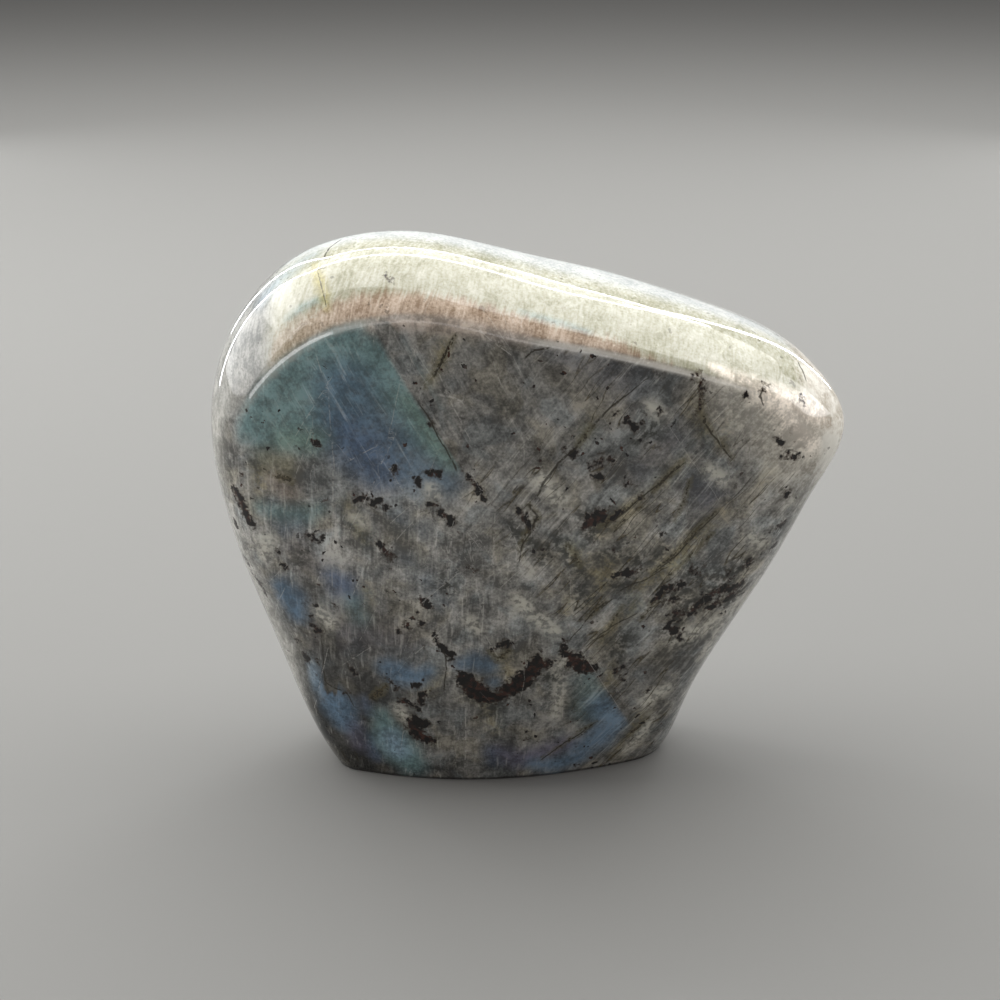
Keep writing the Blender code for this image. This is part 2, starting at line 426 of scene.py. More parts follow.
GRAIN_DOTS_FRONT = (
    (404, 702, 0.7), (416, 685, 0.35), (390, 680, 0.4), (396, 689, 0.2), (405, 625, 0.35),
    (421, 624, 0.35), (398, 630, 0.2), (416, 613, 0.15), (316, 606, 0.2), (335, 604, 0.25),
    (312, 617, 0.2), (292, 629, 0.15), (298, 641, 0.2), (317, 662, 0.2), (318, 674, 0.25),
    (352, 669, 0.2), (356, 673, 0.15), (347, 691, 0.3), (433, 636, 0.2), (422, 645, 0.15),
    (648, 691, 0.2), (636, 729, 0.3), (576, 765, 0.3), (242, 475, 0.5), (236, 525, 0.4),
    (291, 447, 0.25), (395, 470, 0.45), (385, 506, 0.25), (308, 535, 0.45), (313, 540, 0.3),
    (322, 538, 0.35), (280, 551, 0.2), (286, 567, 0.25), (563, 450, 0.3), (611, 459, 0.45),
    (589, 468, 0.3), (630, 482, 0.25), (543, 550, 0.2), (612, 551, 0.25), (664, 532, 0.3),
    (641, 497, 0.2), (774, 546, 0.45), (787, 495, 0.35), (641, 424, 0.25), (616, 411, 0.2),
    (661, 410, 0.25), (764, 388, 0.3), (745, 395, 0.3), (803, 400, 0.3), (431, 424, 0.25),
)
GRAINS_BACK = (
    ((-31.0, 61.5, 0.3), (-28.6, 63.2, 0.7), (-26.2, 64.4, 0.9), (-23.8, 63.8, 0.4)),
    ((-22.5, 61.8, 0.35), (-21.4, 60.6, 0.5)),
    ((-13.0, 30.5, 0.4), (-11.2, 28.2, 1.0), (-8.6, 27.0, 1.3), (-6.4, 27.8, 0.6)),
    ((-5.2, 29.6, 0.3), (-3.6, 31.4, 0.5), (-2.2, 34.0, 0.25)),
    ((-9.8, 24.4, 0.5), (-8.2, 23.2, 0.35)),
    ((15.2, 50.8, 0.3), (16.8, 49.0, 0.7), (17.4, 47.2, 0.9), (19.2, 46.2, 0.4)),
    ((20.4, 49.4, 0.3), (21.4, 50.6, 0.2)),
    ((25.0, 60.2, 0.3), (27.0, 58.6, 0.6), (29.2, 57.6, 0.7), (31.0, 58.4, 0.3)),
    ((33.4, 60.0, 0.25), (34.4, 61.4, 0.2)),
    ((-33.6, 39.0, 0.3), (-32.4, 36.6, 0.6), (-31.8, 34.0, 0.5), (-32.6, 32.4, 0.2)),
    ((-3.0, 69.6, 0.25), (-0.6, 70.6, 0.4), (1.8, 71.8, 0.3)),
    ((9.4, 12.6, 0.3), (11.4, 11.4, 0.6), (13.2, 11.8, 0.3)),
    ((-20.4, 12.2, 0.3), (-18.8, 13.6, 0.6), (-17.0, 14.8, 0.4)),
    ((26.4, 31.0, 0.3), (27.8, 33.0, 0.6), (29.4, 35.4, 0.4)),
    ((4.0, 47.0, 0.3), (5.2, 45.4, 0.35)),
)
GRAIN_DOTS_BACK = (
    (-29.4, 59.0, 0.25), (-25.0, 67.0, 0.2), (-14.8, 33.0, 0.25), (-1.0, 27.6, 0.3), (0.6, 25.8, 0.2),
    (13.4, 52.6, 0.25), (18.6, 43.6, 0.3), (28.2, 54.4, 0.3), (-29.6, 41.0, 0.25), (-35.0, 44.6, 0.3),
    (4.4, 70.2, 0.2), (15.6, 9.4, 0.3), (6.6, 15.4, 0.25), (-22.6, 16.8, 0.25), (24.0, 28.8, 0.25),
    (31.2, 39.0, 0.25), (-17.6, 50.4, 0.3), (38.0, 55.6, 0.3), (-38.4, 62.0, 0.3),
)

# Olive and brown veins.
VEINS_FRONT = (
    ((600, 527, 0.2), (614, 517, 0.3), (628, 507, 0.3), (642, 497, 0.2)),
    ((614, 529, 0.2), (628, 517, 0.25), (640, 507, 0.2)),
    ((653, 490, 0.3), (665, 479, 0.4), (676, 468, 0.35), (684, 461, 0.2)),
    ((652, 572, 0.15), (677, 552, 0.3), (700, 526, 0.3), (718, 510, 0.15)),
    ((664, 580, 0.1), (690, 556, 0.2), (712, 534, 0.2)),
    ((587, 618, 0.2), (597, 609, 0.3), (607, 601, 0.2)),
    ((457, 333, 0.1), (450, 345, 0.25), (443, 358, 0.4), (437, 370, 0.3), (424, 389, 0.1)),
    ((529, 504, 0.2), (539, 515, 0.3), (533, 524, 0.3), (527, 533, 0.35), (520, 546, 0.25),
     (521, 559, 0.15)),
    ((591, 427, 0.3), (585, 436, 0.35), (577, 446, 0.15)),
    ((697, 372, 0.2), (702, 391, 0.25), (700, 410, 0.2), (706, 424, 0.25), (718, 440, 0.2),
     (732, 458, 0.2)),
    ((541, 759, 0.15), (554, 750, 0.25), (566, 742, 0.3), (580, 732, 0.25), (594, 722, 0.15)),
    ((490, 652, 0.2), (498, 660, 0.4), (508, 652, 0.5)),
    ((630, 735, 0.4), (640, 725, 0.5), (648, 718, 0.3)),
    ((567, 545, 0.2), (574, 553, 0.3), (580, 566, 0.25)),
    ((640, 620, 0.2), (652, 606, 0.25), (663, 592, 0.2)),
    ((600, 640, 0.15), (613, 622, 0.2), (622, 606, 0.15)),
    ((690, 480, 0.2), (684, 500, 0.25), (676, 520, 0.2)),
    ((278, 476, 0.6), (290, 480, 0.5)),
    ((371, 698, 0.3), (379, 692, 0.7), (386, 686, 0.4)),
)
VEINS_BACK = (
    ((-37.0, 49.8, 0.15), (-30.0, 53.4, 0.3), (-25.0, 54.4, 0.2)),
    ((-14.0, 60.0, 0.2), (-6.0, 63.6, 0.3), (1.0, 65.4, 0.15)),
    ((-2.0, 15.4, 0.15), (2.4, 23.0, 0.3), (5.0, 29.0, 0.2)),
    ((8.0, 35.4, 0.15), (12.0, 44.0, 0.3), (15.0, 52.0, 0.2)),
    ((35.0, 60.6, 0.2), (30.0, 53.0, 0.3), (26.4, 46.6, 0.15)),
    ((-24.0, 23.6, 0.15), (-29.6, 30.4, 0.25), (-33.0, 36.6, 0.15)),
)

# Dark grey-green clouds with soft edges.
SMUDGES_FRONT = (
    ((586, 530, 1.4), (603, 520, 1.8), (614, 512, 1.0)),
    ((540, 560, 1.0), (552, 540, 1.0)),
    ((650, 562, 1.0), (666, 548, 1.0)),
    ((668, 598, 1.4), (690, 588, 1.2)),
    ((612, 588, 1.0), (626, 584, 1.2)),
    ((535, 680, 1.5), (553, 676, 1.2), (548, 694, 1.0)),
    ((470, 692, 1.6), (490, 706, 1.6), (512, 696, 1.6), (528, 682, 1.2)),
    ((690, 574, 1.4), (712, 584, 1.2)),
    ((664, 588, 0.9), (684, 588, 0.9)),
    ((300, 560, 1.5), (306, 548, 1.2)),
    ((430, 722, 1.6),),
    ((457, 762, 1.2),),
    ((612, 652, 1.2), (624, 638, 1.5), (620, 660, 0.8)),
    ((730, 600, 1.8), (742, 588, 1.5)),
    ((690, 604, 1.6),),
    ((588, 600, 1.4), (574, 588, 1.0)),
    ((520, 545, 1.2), (530, 520, 1.2)),
    ((655, 430, 1.6), (640, 440, 1.6)),
    ((500, 404, 0.8), (520, 414, 0.6)),
    ((446, 585, 1.8),),
    ((736, 578, 1.2), (718, 588, 1.8), (700, 602, 1.8), (682, 614, 2.0), (666, 630, 1.4)),
    ((674, 634, 1.2), (684, 644, 0.8)),
    ((556, 536, 1.4), (574, 562, 1.6), (586, 584, 1.2)),
    ((600, 556, 1.0), (618, 548, 1.2)),
    ((486, 700, 1.8), (508, 692, 1.8), (528, 678, 1.4)),
    ((586, 514, 1.6), (602, 524, 1.8), (590, 540, 1.2)),
    ((512, 526, 1.2), (528, 542, 1.6), (546, 552, 1.2)),
    ((620, 556, 1.2), (644, 560, 1.4)),
    ((708, 576, 1.4), (734, 572, 1.6), (748, 562, 1.2)),
)
SMUDGES_BACK = (
    ((-20.0, 42.0, 1.6), (-14.0, 45.0, 2.0), (-8.0, 46.0, 1.2)),
    ((15.0, 29.0, 1.6), (20.0, 36.0, 1.4)),
    ((-26.0, 70.0, 1.6), (-18.0, 74.0, 1.2)),
    ((6.0, 13.0, 1.8),),
    ((-10.0, 26.0, 2.0), (-6.0, 29.0, 1.4)),
    ((27.0, 59.0, 1.4),),
)

# Olive stains with soft edges, along the veins.
STAINS_FRONT = (
    ((636, 588, 1.2), (656, 574, 1.8), (676, 560, 1.8), (692, 542, 1.6), (710, 520, 1.6),
     (722, 508, 1.0)),
    ((594, 572, 1.0), (608, 566, 1.4), (600, 590, 1.2), (588, 604, 0.8)),
    ((582, 560, 1.4), (570, 548, 1.0)),
    ((600, 530, 0.8), (622, 512, 0.9), (640, 498, 0.7)),
    ((656, 488, 0.7), (672, 472, 0.9), (684, 460, 0.6)),
    ((600, 640, 0.8), (618, 620, 1.0), (636, 604, 0.9)),
    ((612, 666, 0.8), (608, 684, 1.0)),
    ((640, 716, 1.2), (628, 732, 1.2), (616, 752, 1.0)),
    ((446, 344, 0.8), (438, 362, 1.0), (430, 380, 0.6)),
    ((590, 424, 0.7), (580, 440, 0.7)),
    ((486, 702, 1.0), (494, 730, 0.8)),
    ((500, 660, 1.2), (508, 676, 0.8)),
    ((744, 404, 1.2), (730, 424, 1.4), (722, 444, 1.0)),
    ((700, 408, 1.4), (706, 430, 1.2)),
    ((768, 478, 1.2), (776, 462, 1.2)),
    ((348, 506, 1.0), (356, 524, 1.2), (364, 540, 0.8)),
    ((364, 588, 1.0), (368, 600, 0.8)),
    ((436, 674, 0.9), (430, 690, 0.9)),
    ((570, 602, 0.6), (566, 612, 0.5)),
    ((256, 470, 1.0), (262, 486, 1.0)),
)
STAINS_BACK = (
    ((-36.0, 48.0, 1.6), (-24.0, 54.0, 1.8), (-10.0, 61.0, 1.4)),
    ((0.0, 18.0, 1.2), (8.0, 36.0, 1.6), (16.0, 54.0, 1.4)),
    ((22.0, 20.0, 1.2), (12.0, 26.0, 1.4)),
    ((34.0, 60.0, 1.4), (28.0, 50.0, 1.6)),
)

# Pale clouds.
PALE_FRONT = (
    ((516, 598, 1.0), (524, 606, 1.5), (532, 616, 0.9)),
    ((430, 488, 0.9), (434, 496, 0.8)),
    ((352, 516, 0.5), (364, 524, 0.5)),
    ((576, 605, 0.7),),
    ((650, 406, 0.8), (660, 414, 0.8)),
    ((750, 536, 1.2), (762, 543, 1.0)),
    ((792, 502, 0.7),),
    ((676, 640, 1.4), (700, 630, 1.8), (720, 618, 1.2)),
    ((566, 656, 0.6), (556, 668, 0.6), (560, 690, 1.0), (556, 715, 0.6)),
    ((648, 700, 1.6), (664, 690, 1.4)),
    ((404, 716, 0.9), (398, 708, 0.7)),
    ((470, 620, 0.8), (476, 630, 0.8)),
    ((540, 620, 1.4), (556, 632, 1.0)),
    ((330, 622, 1.2), (320, 612, 1.0)),
    ((268, 540, 1.2), (262, 556, 0.8)),
    ((540, 480, 1.4), (560, 500, 1.2)),
    ((710, 470, 1.0), (724, 480, 1.0)),
    ((626, 750, 1.0), (640, 736, 1.2), (652, 720, 0.8)),
    ((738, 600, 0.8), (720, 626, 0.8), (702, 656, 0.8)),
    ((690, 634, 1.2), (712, 622, 1.0)),
)
PALE_BACK = (
    ((-4.0, 58.0, 2.0), (4.0, 56.0, 1.5)),
    ((-26.0, 48.0, 1.6), (-30.0, 52.0, 1.2)),
    ((28.0, 66.0, 1.5),),
    ((4.0, 42.0, 1.2), (10.0, 44.0, 1.0)),
    ((-14.0, 18.0, 1.6),),
    ((18.0, 18.0, 1.4), (22.0, 24.0, 1.0)),
)

# Painted reflection: a pinkish zone on the rim beside the front arris, as (x, width).
PINK_REFLECTION_ZONE = (
    (-38.0, 0.0), (-36.0, 2.4), (-20.0, 2.5), (0.0, 2.5), (6.0, 2.1), (12.0, 1.7), (17.0, 0.8),
    (21.0, 0.0), (31.0, 0.0), (35.0, 0.8), (40.0, 1.1), (45.0, 2.0), (47.0, 1.0),
)

# Fine dark cracks and fine pale scratches.
CRACKS_BACK = (
    ((-38.0, 50.6, 0.06), (-31.0, 53.0, 0.10), (-24.0, 54.8, 0.12), (-15.0, 59.6, 0.10),
     (-8.0, 62.4, 0.06)),
    ((-5.0, 10.0, 0.05), (-1.0, 17.6, 0.10), (3.4, 25.0, 0.12), (7.6, 34.6, 0.10), (10.0, 41.0, 0.06)),
    ((22.0, 66.0, 0.05), (17.0, 57.0, 0.10), (11.0, 50.0, 0.08)),
    ((30.0, 48.0, 0.06), (24.0, 41.0, 0.10), (20.6, 33.0, 0.06)),
    ((-28.0, 24.0, 0.05), (-22.0, 31.0, 0.10), (-17.6, 39.0, 0.08)),
)
SCRATCHES_BACK = (
    ((-12.0, 66.0, 0.03), (-4.0, 54.0, 0.05), (0.0, 46.0, 0.03)),
    ((20.0, 22.0, 0.03), (19.0, 30.0, 0.05), (19.4, 40.0, 0.03)),
    ((-26.0, 48.0, 0.03), (-20.0, 37.0, 0.05), (-16.0, 30.0, 0.03)),
    ((30.0, 66.0, 0.03), (24.0, 58.0, 0.05), (20.0, 52.0, 0.03)),
)
CRACKS_FRONT = (
    ((418, 402, 0.05), (432, 424, 0.10), (446, 450, 0.08), (456, 470, 0.10)),
    ((457, 334, 0.06), (449, 347, 0.14), (441, 362, 0.14), (434, 376, 0.08)),
    ((318, 272, 0.04), (322, 288, 0.08), (326, 306, 0.05)),
    ((529, 506, 0.08), (538, 516, 0.14), (530, 532, 0.12), (522, 548, 0.10), (520, 562, 0.06)),
    ((606, 526, 0.08), (622, 514, 0.14), (640, 499, 0.12), (660, 484, 0.12), (684, 462, 0.06)),
    ((652, 574, 0.06), (676, 555, 0.12), (698, 532, 0.12), (718, 512, 0.06)),
    ((540, 760, 0.06), (560, 746, 0.12), (580, 733, 0.12), (596, 722, 0.06)),
    ((600, 610, 0.05), (622, 590, 0.12), (648, 578, 0.10), (668, 566, 0.06)),
    ((577, 446, 0.14), (569, 454, 0.16), (557, 463, 0.14), (546, 480, 0.16), (535, 499, 0.10)),
    ((321, 634, 0.04), (323, 660, 0.07), (324, 684, 0.06)),
    ((549, 347, 0.10), (534, 350, 0.14), (525, 358, 0.10)),
    ((798, 362, 0.10), (803, 371, 0.14), (806, 380, 0.10)),
    ((325, 258, 0.10), (329, 248, 0.12), (340, 240, 0.10)),
    ((724, 600, 0.10), (745, 592, 0.10)),
    ((705, 423, 0.08), (712, 433, 0.14), (722, 446, 0.12), (732, 458, 0.08)),
    ((341, 750, 0.10), (345, 757, 0.16), (350, 762, 0.10)),
    ((354, 752, 0.12), (358, 761, 0.14)),
    ((325, 682, 0.10), (336, 688, 0.14), (346, 691, 0.12), (354, 706, 0.08)),
    ((370, 698, 0.12), (377, 702, 0.14)),
    ((570, 640, 0.06), (590, 616, 0.10), (607, 601, 0.08)),
    ((586, 646, 0.06), (612, 626, 0.09), (640, 612, 0.06)),
    ((648, 378, 0.05), (620, 400, 0.10), (606, 412, 0.12), (591, 427, 0.14)),
    ((764, 384, 0.08), (760, 396, 0.10), (764, 405, 0.08)),
    ((444, 650, 0.08), (447, 668, 0.10), (443, 690, 0.08)),
)
SCRATCHES_FRONT = (
    ((440, 395, 0.10), (452, 397, 0.13), (463, 402, 0.08)),
    ((325, 298, 0.05), (328, 266, 0.07), (335, 245, 0.06), (350, 239, 0.04)),
    ((304, 300, 0.03), (318, 268, 0.04), (330, 246, 0.03)),
    ((454, 518, 0.02), (450, 546, 0.04), (448, 574, 0.04), (452, 640, 0.02)),
    ((465, 704, 0.02), (466, 735, 0.05), (465, 767, 0.03)),
    ((359, 553, 0.02), (350, 558, 0.04), (340, 564, 0.02)),
    ((271, 470, 0.02), (271, 510, 0.03), (270, 560, 0.02)),
    ((333, 470, 0.02), (333, 530, 0.03), (332, 590, 0.02)),
    ((484, 590, 0.02), (483, 620, 0.04), (478, 652, 0.02)),
    ((557, 690, 0.02), (554, 715, 0.05), (551, 745, 0.02)),
    ((452, 604, 0.02), (453, 624, 0.04), (451, 640, 0.02)),
    ((495, 510, 0.02), (493, 550, 0.03), (494, 580, 0.02)),
    ((505, 470, 0.02), (528, 440, 0.03), (556, 408, 0.02)),
    ((430, 350, 0.02), (446, 392, 0.03), (470, 440, 0.02)),
)

# Faint scratches at random: (how many, middle, reach each way, longest run, seed), on the front in
# the camera's frame and on the back in mm.
FAINT_FRONT = (
    (130, (510.0, 530.0), (300.0, 240.0), (90.0, -90.0), 4),
    (50, (470.0, 520.0), (90.0, 90.0), (70.0, -70.0), 5),
)
FAINT_BACK = ((110, (0.0, 46.0), (46.0, 40.0), (14.0, 14.0), 9),)
FAINT_SPREAD = 14.0             # how far they stray from the fibres, in degrees
FAINT_LENGTHS = (0.3, 1.0)      # their runs, as shares of the longest
FAINT_WIDTHS = (-0.04, 0.03)    # half widths, where one below zero leaves a fainter line

# Colours of the flash under the polish.
TEAL = (0.135, 0.225, 0.232)
GREEN = (0.150, 0.225, 0.180)
BLUE = (0.086, 0.142, 0.202)
LAKE = (0.100, 0.162, 0.236)
DEEP_BLUE = (0.070, 0.108, 0.185)
VIOLET = (0.135, 0.130, 0.190)
DUSK = (0.085, 0.078, 0.095)
SKY = (0.230, 0.330, 0.430)
WARM = (0.190, 0.145, 0.110)
# Rose: a painted reflection beside the front arris.
ROSE_REFLECTION = (0.400, 0.335, 0.285)
# Ash and salmon: the pale tip, partly the stone's own colour and partly painted light.
ASH = (0.600, 0.570, 0.500)
SALMON = (0.920, 0.835, 0.735)
SLATE = (0.078, 0.082, 0.104)
LAGOON = (0.130, 0.265, 0.300)
OLIVE = (0.210, 0.200, 0.120)
AMBER = (0.330, 0.290, 0.110)

# A patch of flash is (colour, strength, softness, then its strokes). Later ones lie over earlier ones.
FLASH_AND_PAINTED_LIGHT_FRONT = (
    (TEAL, 0.90, 2.5, ((250, 425, 3.0), (268, 402, 5.0), (300, 378, 6.0), (340, 362, 6.0),
      (372, 366, 4.5), (402, 402, 3.5), (424, 436, 3.0), (446, 462, 1.5)),
     ((262, 432, 3.0), (300, 420, 5.0), (330, 400, 6.0))),
    (BLUE, 0.85, 3.0,
     ((345, 392, 4.5), (352, 426, 5.5), (384, 452, 5.0), (418, 474, 3.0), (446, 482, 2.0))),
    (DEEP_BLUE, 0.70, 3.0, ((348, 432, 2.5), (362, 452, 3.5), (378, 472, 3.0))),
    (GREEN, 0.60, 2.0, ((284, 440, 1.5), (306, 440, 1.8), (322, 436, 1.0)),
     ((408, 400, 1.0), (430, 436, 1.2), (450, 462, 0.8))),
    (OLIVE, 0.55, 2.0, ((268, 462, 2.0), (286, 466, 1.5))),
    (WARM, 0.60, 2.0, ((276, 482, 1.5), (288, 494, 1.6))),
    # A painted reflection beside the front arris.
    (ROSE_REFLECTION, 0.88, 1.5,
     ((372, 328, 0.3), (400, 322, 0.8), (440, 322, 1.3), (485, 328, 1.0), (526, 338, 0.7))),
    # The pale tip, partly painted light.
    (ASH, 0.60, 3.2,
     ((700, 380, 0.5), (722, 396, 2.6), (745, 418, 3.0), (768, 446, 2.5), (790, 470, 1.5))),
    (ASH, 0.92, 2.6,
     ((734, 396, 0.5), (752, 405, 1.8), (775, 420, 3.4), (798, 438, 3.8), (814, 452, 2.0))),
    (SALMON, 0.94, 2.2, ((756, 397, 0.3), (780, 406, 1.4), (802, 420, 3.0), (818, 436, 2.4))),
    (TEAL, 0.75, 1.6, ((262, 508, 1.2), (284, 514, 1.6), (306, 514, 1.6), (322, 508, 0.8))),
    (BLUE, 0.50, 2.0, ((280, 530, 1.2), (300, 526, 1.2))),
    (DUSK, 0.60, 2.5, ((298, 548, 2.0), (306, 560, 2.2))),
    (LAKE, 0.95, 2.0, ((282, 588, 1.8), (290, 598, 2.6), (296, 612, 1.8))),
    (DEEP_BLUE, 0.80, 2.2, ((332, 574, 1.6), (342, 584, 2.4), (350, 594, 1.4))),
    (TEAL, 0.60, 1.8, ((354, 604, 1.4), (360, 618, 1.6))),
    (SKY, 0.80, 1.8, ((286, 642, 1.2), (296, 656, 1.8), (308, 670, 2.2), (316, 684, 1.4))),
    (LAKE, 1.00, 1.8, ((330, 692, 1.8), (338, 706, 3.0), (346, 722, 2.0))),
    (VIOLET, 0.55, 1.8, ((356, 728, 1.4), (360, 745, 1.4))),
    (DEEP_BLUE, 0.60, 1.5, ((372, 738, 1.0), (376, 756, 1.0)), ((364, 700, 0.8), (368, 712, 0.8))),
    (TEAL, 0.90, 2.2, ((382, 716, 1.2), (390, 738, 2.8), (402, 752, 3.0), (412, 764, 2.0))),
    (SKY, 0.70, 1.8, ((392, 738, 1.8), (398, 750, 1.8))),
    (LAKE, 0.95, 1.8, ((388, 668, 1.6), (400, 674, 2.2), (416, 678, 1.8), (428, 672, 1.2))),
    (LAKE, 0.85, 1.6, ((462, 664, 1.2), (474, 662, 1.8), (488, 666, 1.6)), ((494, 682, 0.8),)),
    (VIOLET, 0.80, 2.0, ((500, 752, 1.4), (516, 760, 1.8), (540, 754, 1.8), (566, 744, 1.6))),
    (LAKE, 0.90, 1.8, ((534, 764, 1.2), (556, 764, 1.8), (576, 758, 1.6))),
    (TEAL, 0.55, 2.4, ((586, 676, 1.4), (590, 692, 2.6), (594, 708, 3.2))),
    (LAKE, 0.90, 2.6, ((602, 706, 2.6), (612, 722, 3.0), (600, 736, 3.0), (584, 748, 2.2))),
    (SKY, 0.35, 1.6, ((610, 716, 1.0), (618, 726, 0.8))),
    (DEEP_BLUE, 0.50, 1.6, ((490, 750, 1.0), (494, 762, 1.0))),
    (SLATE, 0.70, 2.8, ((696, 488, 1.6), (710, 500, 2.6), (708, 514, 1.6))),
    (SLATE, 0.42, 3.5, ((556, 352, 1.5), (590, 368, 3.0), (632, 384, 2.5))),
    (DUSK, 0.42, 3.5, ((325, 640, 2.0), (360, 630, 3.5), (402, 640, 2.5))),
    (DUSK, 0.45, 2.5, ((660, 450, 1.5), (672, 440, 1.5)), ((640, 470, 1.5), (650, 460, 1.0))),
    (BLUE, 0.35, 2.5, ((410, 560, 1.5), (440, 600, 2.0)), ((400, 520, 1.5), (420, 530, 1.5))),
)
FLASH_AND_PAINTED_LIGHT_RIM = (
    (LAGOON, 0.62, 0.9, ((286, 319, 0.2), (304, 306, 0.4), (322, 298, 0.2)),
     ((521, 312, 0.1), (550, 320, 0.3), (590, 332, 0.2))),
    (SKY, 0.40, 2.0, ((262, 300, 1.0), (284, 276, 1.6), (312, 256, 1.2))),
    (AMBER, 0.90, 0.9, ((314, 264, 0.3), (319, 279, 0.8), (324, 294, 0.8), (327, 308, 0.3))),
    (OLIVE, 0.35, 1.2, ((654, 330, 0.6), (668, 338, 0.8))),
    # A painted reflection beside the front arris.
    (ROSE_REFLECTION, 0.75, 0.8,
     ((376, 324, 0.2), (400, 319, 0.4), (440, 319, 0.6), (485, 325, 0.4), (530, 336, 0.4))),
    # The pale tip, partly painted light.
    (SALMON, 0.85, 1.1,
     ((712, 367, 0.3), (740, 380, 1.2), (770, 393, 1.5), (800, 405, 1.7), (820, 414, 1.4))),
)
FLASH_BACK = (
    (BLUE, 0.90, 4.0, ((24.0, 62.0, 4.0), (16.0, 68.0, 5.0), (6.0, 72.0, 4.0))),
    (TEAL, 0.70, 4.0, ((28.0, 54.0, 3.0), (20.0, 58.0, 3.0))),
    (DEEP_BLUE, 0.80, 4.0, ((-24.0, 34.0, 4.0), (-18.0, 26.0, 5.0))),
    (TEAL, 0.60, 3.0, ((-30.0, 44.0, 2.5), (-24.0, 40.0, 2.5))),
    (GREEN, 0.60, 3.0, ((2.0, 16.0, 3.0), (10.0, 20.0, 2.5))),
    (VIOLET, 0.60, 4.0, ((-28.0, 72.0, 3.0), (-20.0, 76.0, 3.0))),
    (WARM, 0.45, 3.0, ((-2.0, 30.0, 2.0),)),
)

# Flashes of the front end sharply along these lines; colour lies to the left of each.
FLASH_EDGES = (
    ((377, 336), (402, 380), (430, 424), (452, 456), (476, 492)),
    ((588, 664), (596, 676), (612, 700), (632, 727), (640, 742)),
    ((320, 628), (322, 656), (323, 684)),
)
EDGE_SOFTNESS = 0.4             # how softly, in mm
EDGE_END = 1.5                  # how far past its own ends such a line still parts the flash
FACE_END = 0.5                  # half of the strip behind the front face where its flash fades

# Softness of the marks' edges, in mm.
SMUDGE_SOFTNESS = 1.6
PALE_SOFTNESS = 1.4
STAIN_SOFTNESS = 1.8

# Directions of the fibres, in degrees from level, and where each one rules.
FIBRE_TURNS = (-62.0, 52.0, 86.0)
FIBRE_SEEDS_FRONT = (
    (300, 400, 0), (390, 420, 0), (450, 380, 0), (520, 400, 0), (600, 400, 1), (560, 470, 1),
    (500, 500, 1), (680, 430, 1), (760, 470, 1), (640, 520, 1), (720, 560, 1), (600, 600, 1),
    (300, 520, 2), (380, 560, 2), (450, 560, 2), (480, 640, 2), (350, 650, 2), (420, 720, 2),
    (520, 730, 2), (600, 720, 1), (400, 300, 2), (560, 310, 1), (700, 350, 1), (240, 350, 2),
)
FIBRE_SEEDS_BACK = ((-30.0, 60.0, 1), (0.0, 70.0, 0), (30.0, 60.0, 2), (-20.0, 25.0, 2), (15.0, 30.0, 0))
FIBRE_REACH = 7.0               # how far a direction holds round its seed
FIBRE_LEAST = 1e-4              # weight that every direction has everywhere


def flash_layers(verts, skin, from_front):
    """Colour and strength of the flash at each vertex, together with a painted reflection by the arris
    and painted light at the tip.
    """
    lines = [[(across, down, 0.0) for across, down in edge] for edge in FLASH_EDGES]
    towards_front = np.tile((0.0, -1.0, 0.0), (len(verts), 1))
    past_edges = [softly(-side_of(verts, towards_front, edge), EDGE_SOFTNESS)
                  for edge in laid(skin, lines, from_camera)]
    past_edge = np.max(past_edges, axis=0)
    on_face = softly(from_front - FACE_END, FACE_END)
    groups = ((FLASH_AND_PAINTED_LIGHT_FRONT, from_camera, on_face * (1.0 - past_edge)),
              (FLASH_AND_PAINTED_LIGHT_RIM, from_camera, 1.0 - on_face),
              (FLASH_BACK, from_behind, 1.0))
    colour = np.zeros((len(verts), 3))
    strength = np.zeros(len(verts))
    for patches, line, allowed in groups:
        for shade, share, softness, *strokes in patches:
            cover = allowed * share * soft_cover(verts, laid(skin, strokes, line), softness)
            colour = colour * (1.0 - cover[:, None]) + np.array(shade) * cover[:, None]
            strength = strength + (1.0 - strength) * cover
    colour = colour / np.maximum(strength, 1e-3)[:, None]
    return np.concatenate([colour, strength[:, None]], axis=1)


def fibre_weights(verts, skin):
    """How strongly each direction of the fibres rules at each vertex."""
    weights = np.full((len(verts), len(FIBRE_TURNS)), FIBRE_LEAST)
    for seeds, line in ((FIBRE_SEEDS_FRONT, from_camera), (FIBRE_SEEDS_BACK, from_behind)):
        for first, second, turn in seeds:
            place = laid(skin, [[(first, second, 0.0)]], line)[0][0][0]
            away = ((verts - place) ** 2).sum(1)
            weights[:, turn] += np.exp(-away / (2.0 * FIBRE_REACH ** 2))
    return weights / weights.sum(1)[:, None]


def give(data, name, kind, values):
    """Store values on a mesh's vertices for the material to read."""
    layer = data.attributes.new(name, kind, "POINT")
    field = "color" if kind == "FLOAT_COLOR" else "vector"
    layer.data.foreach_set(field, values.astype(np.float32).ravel())


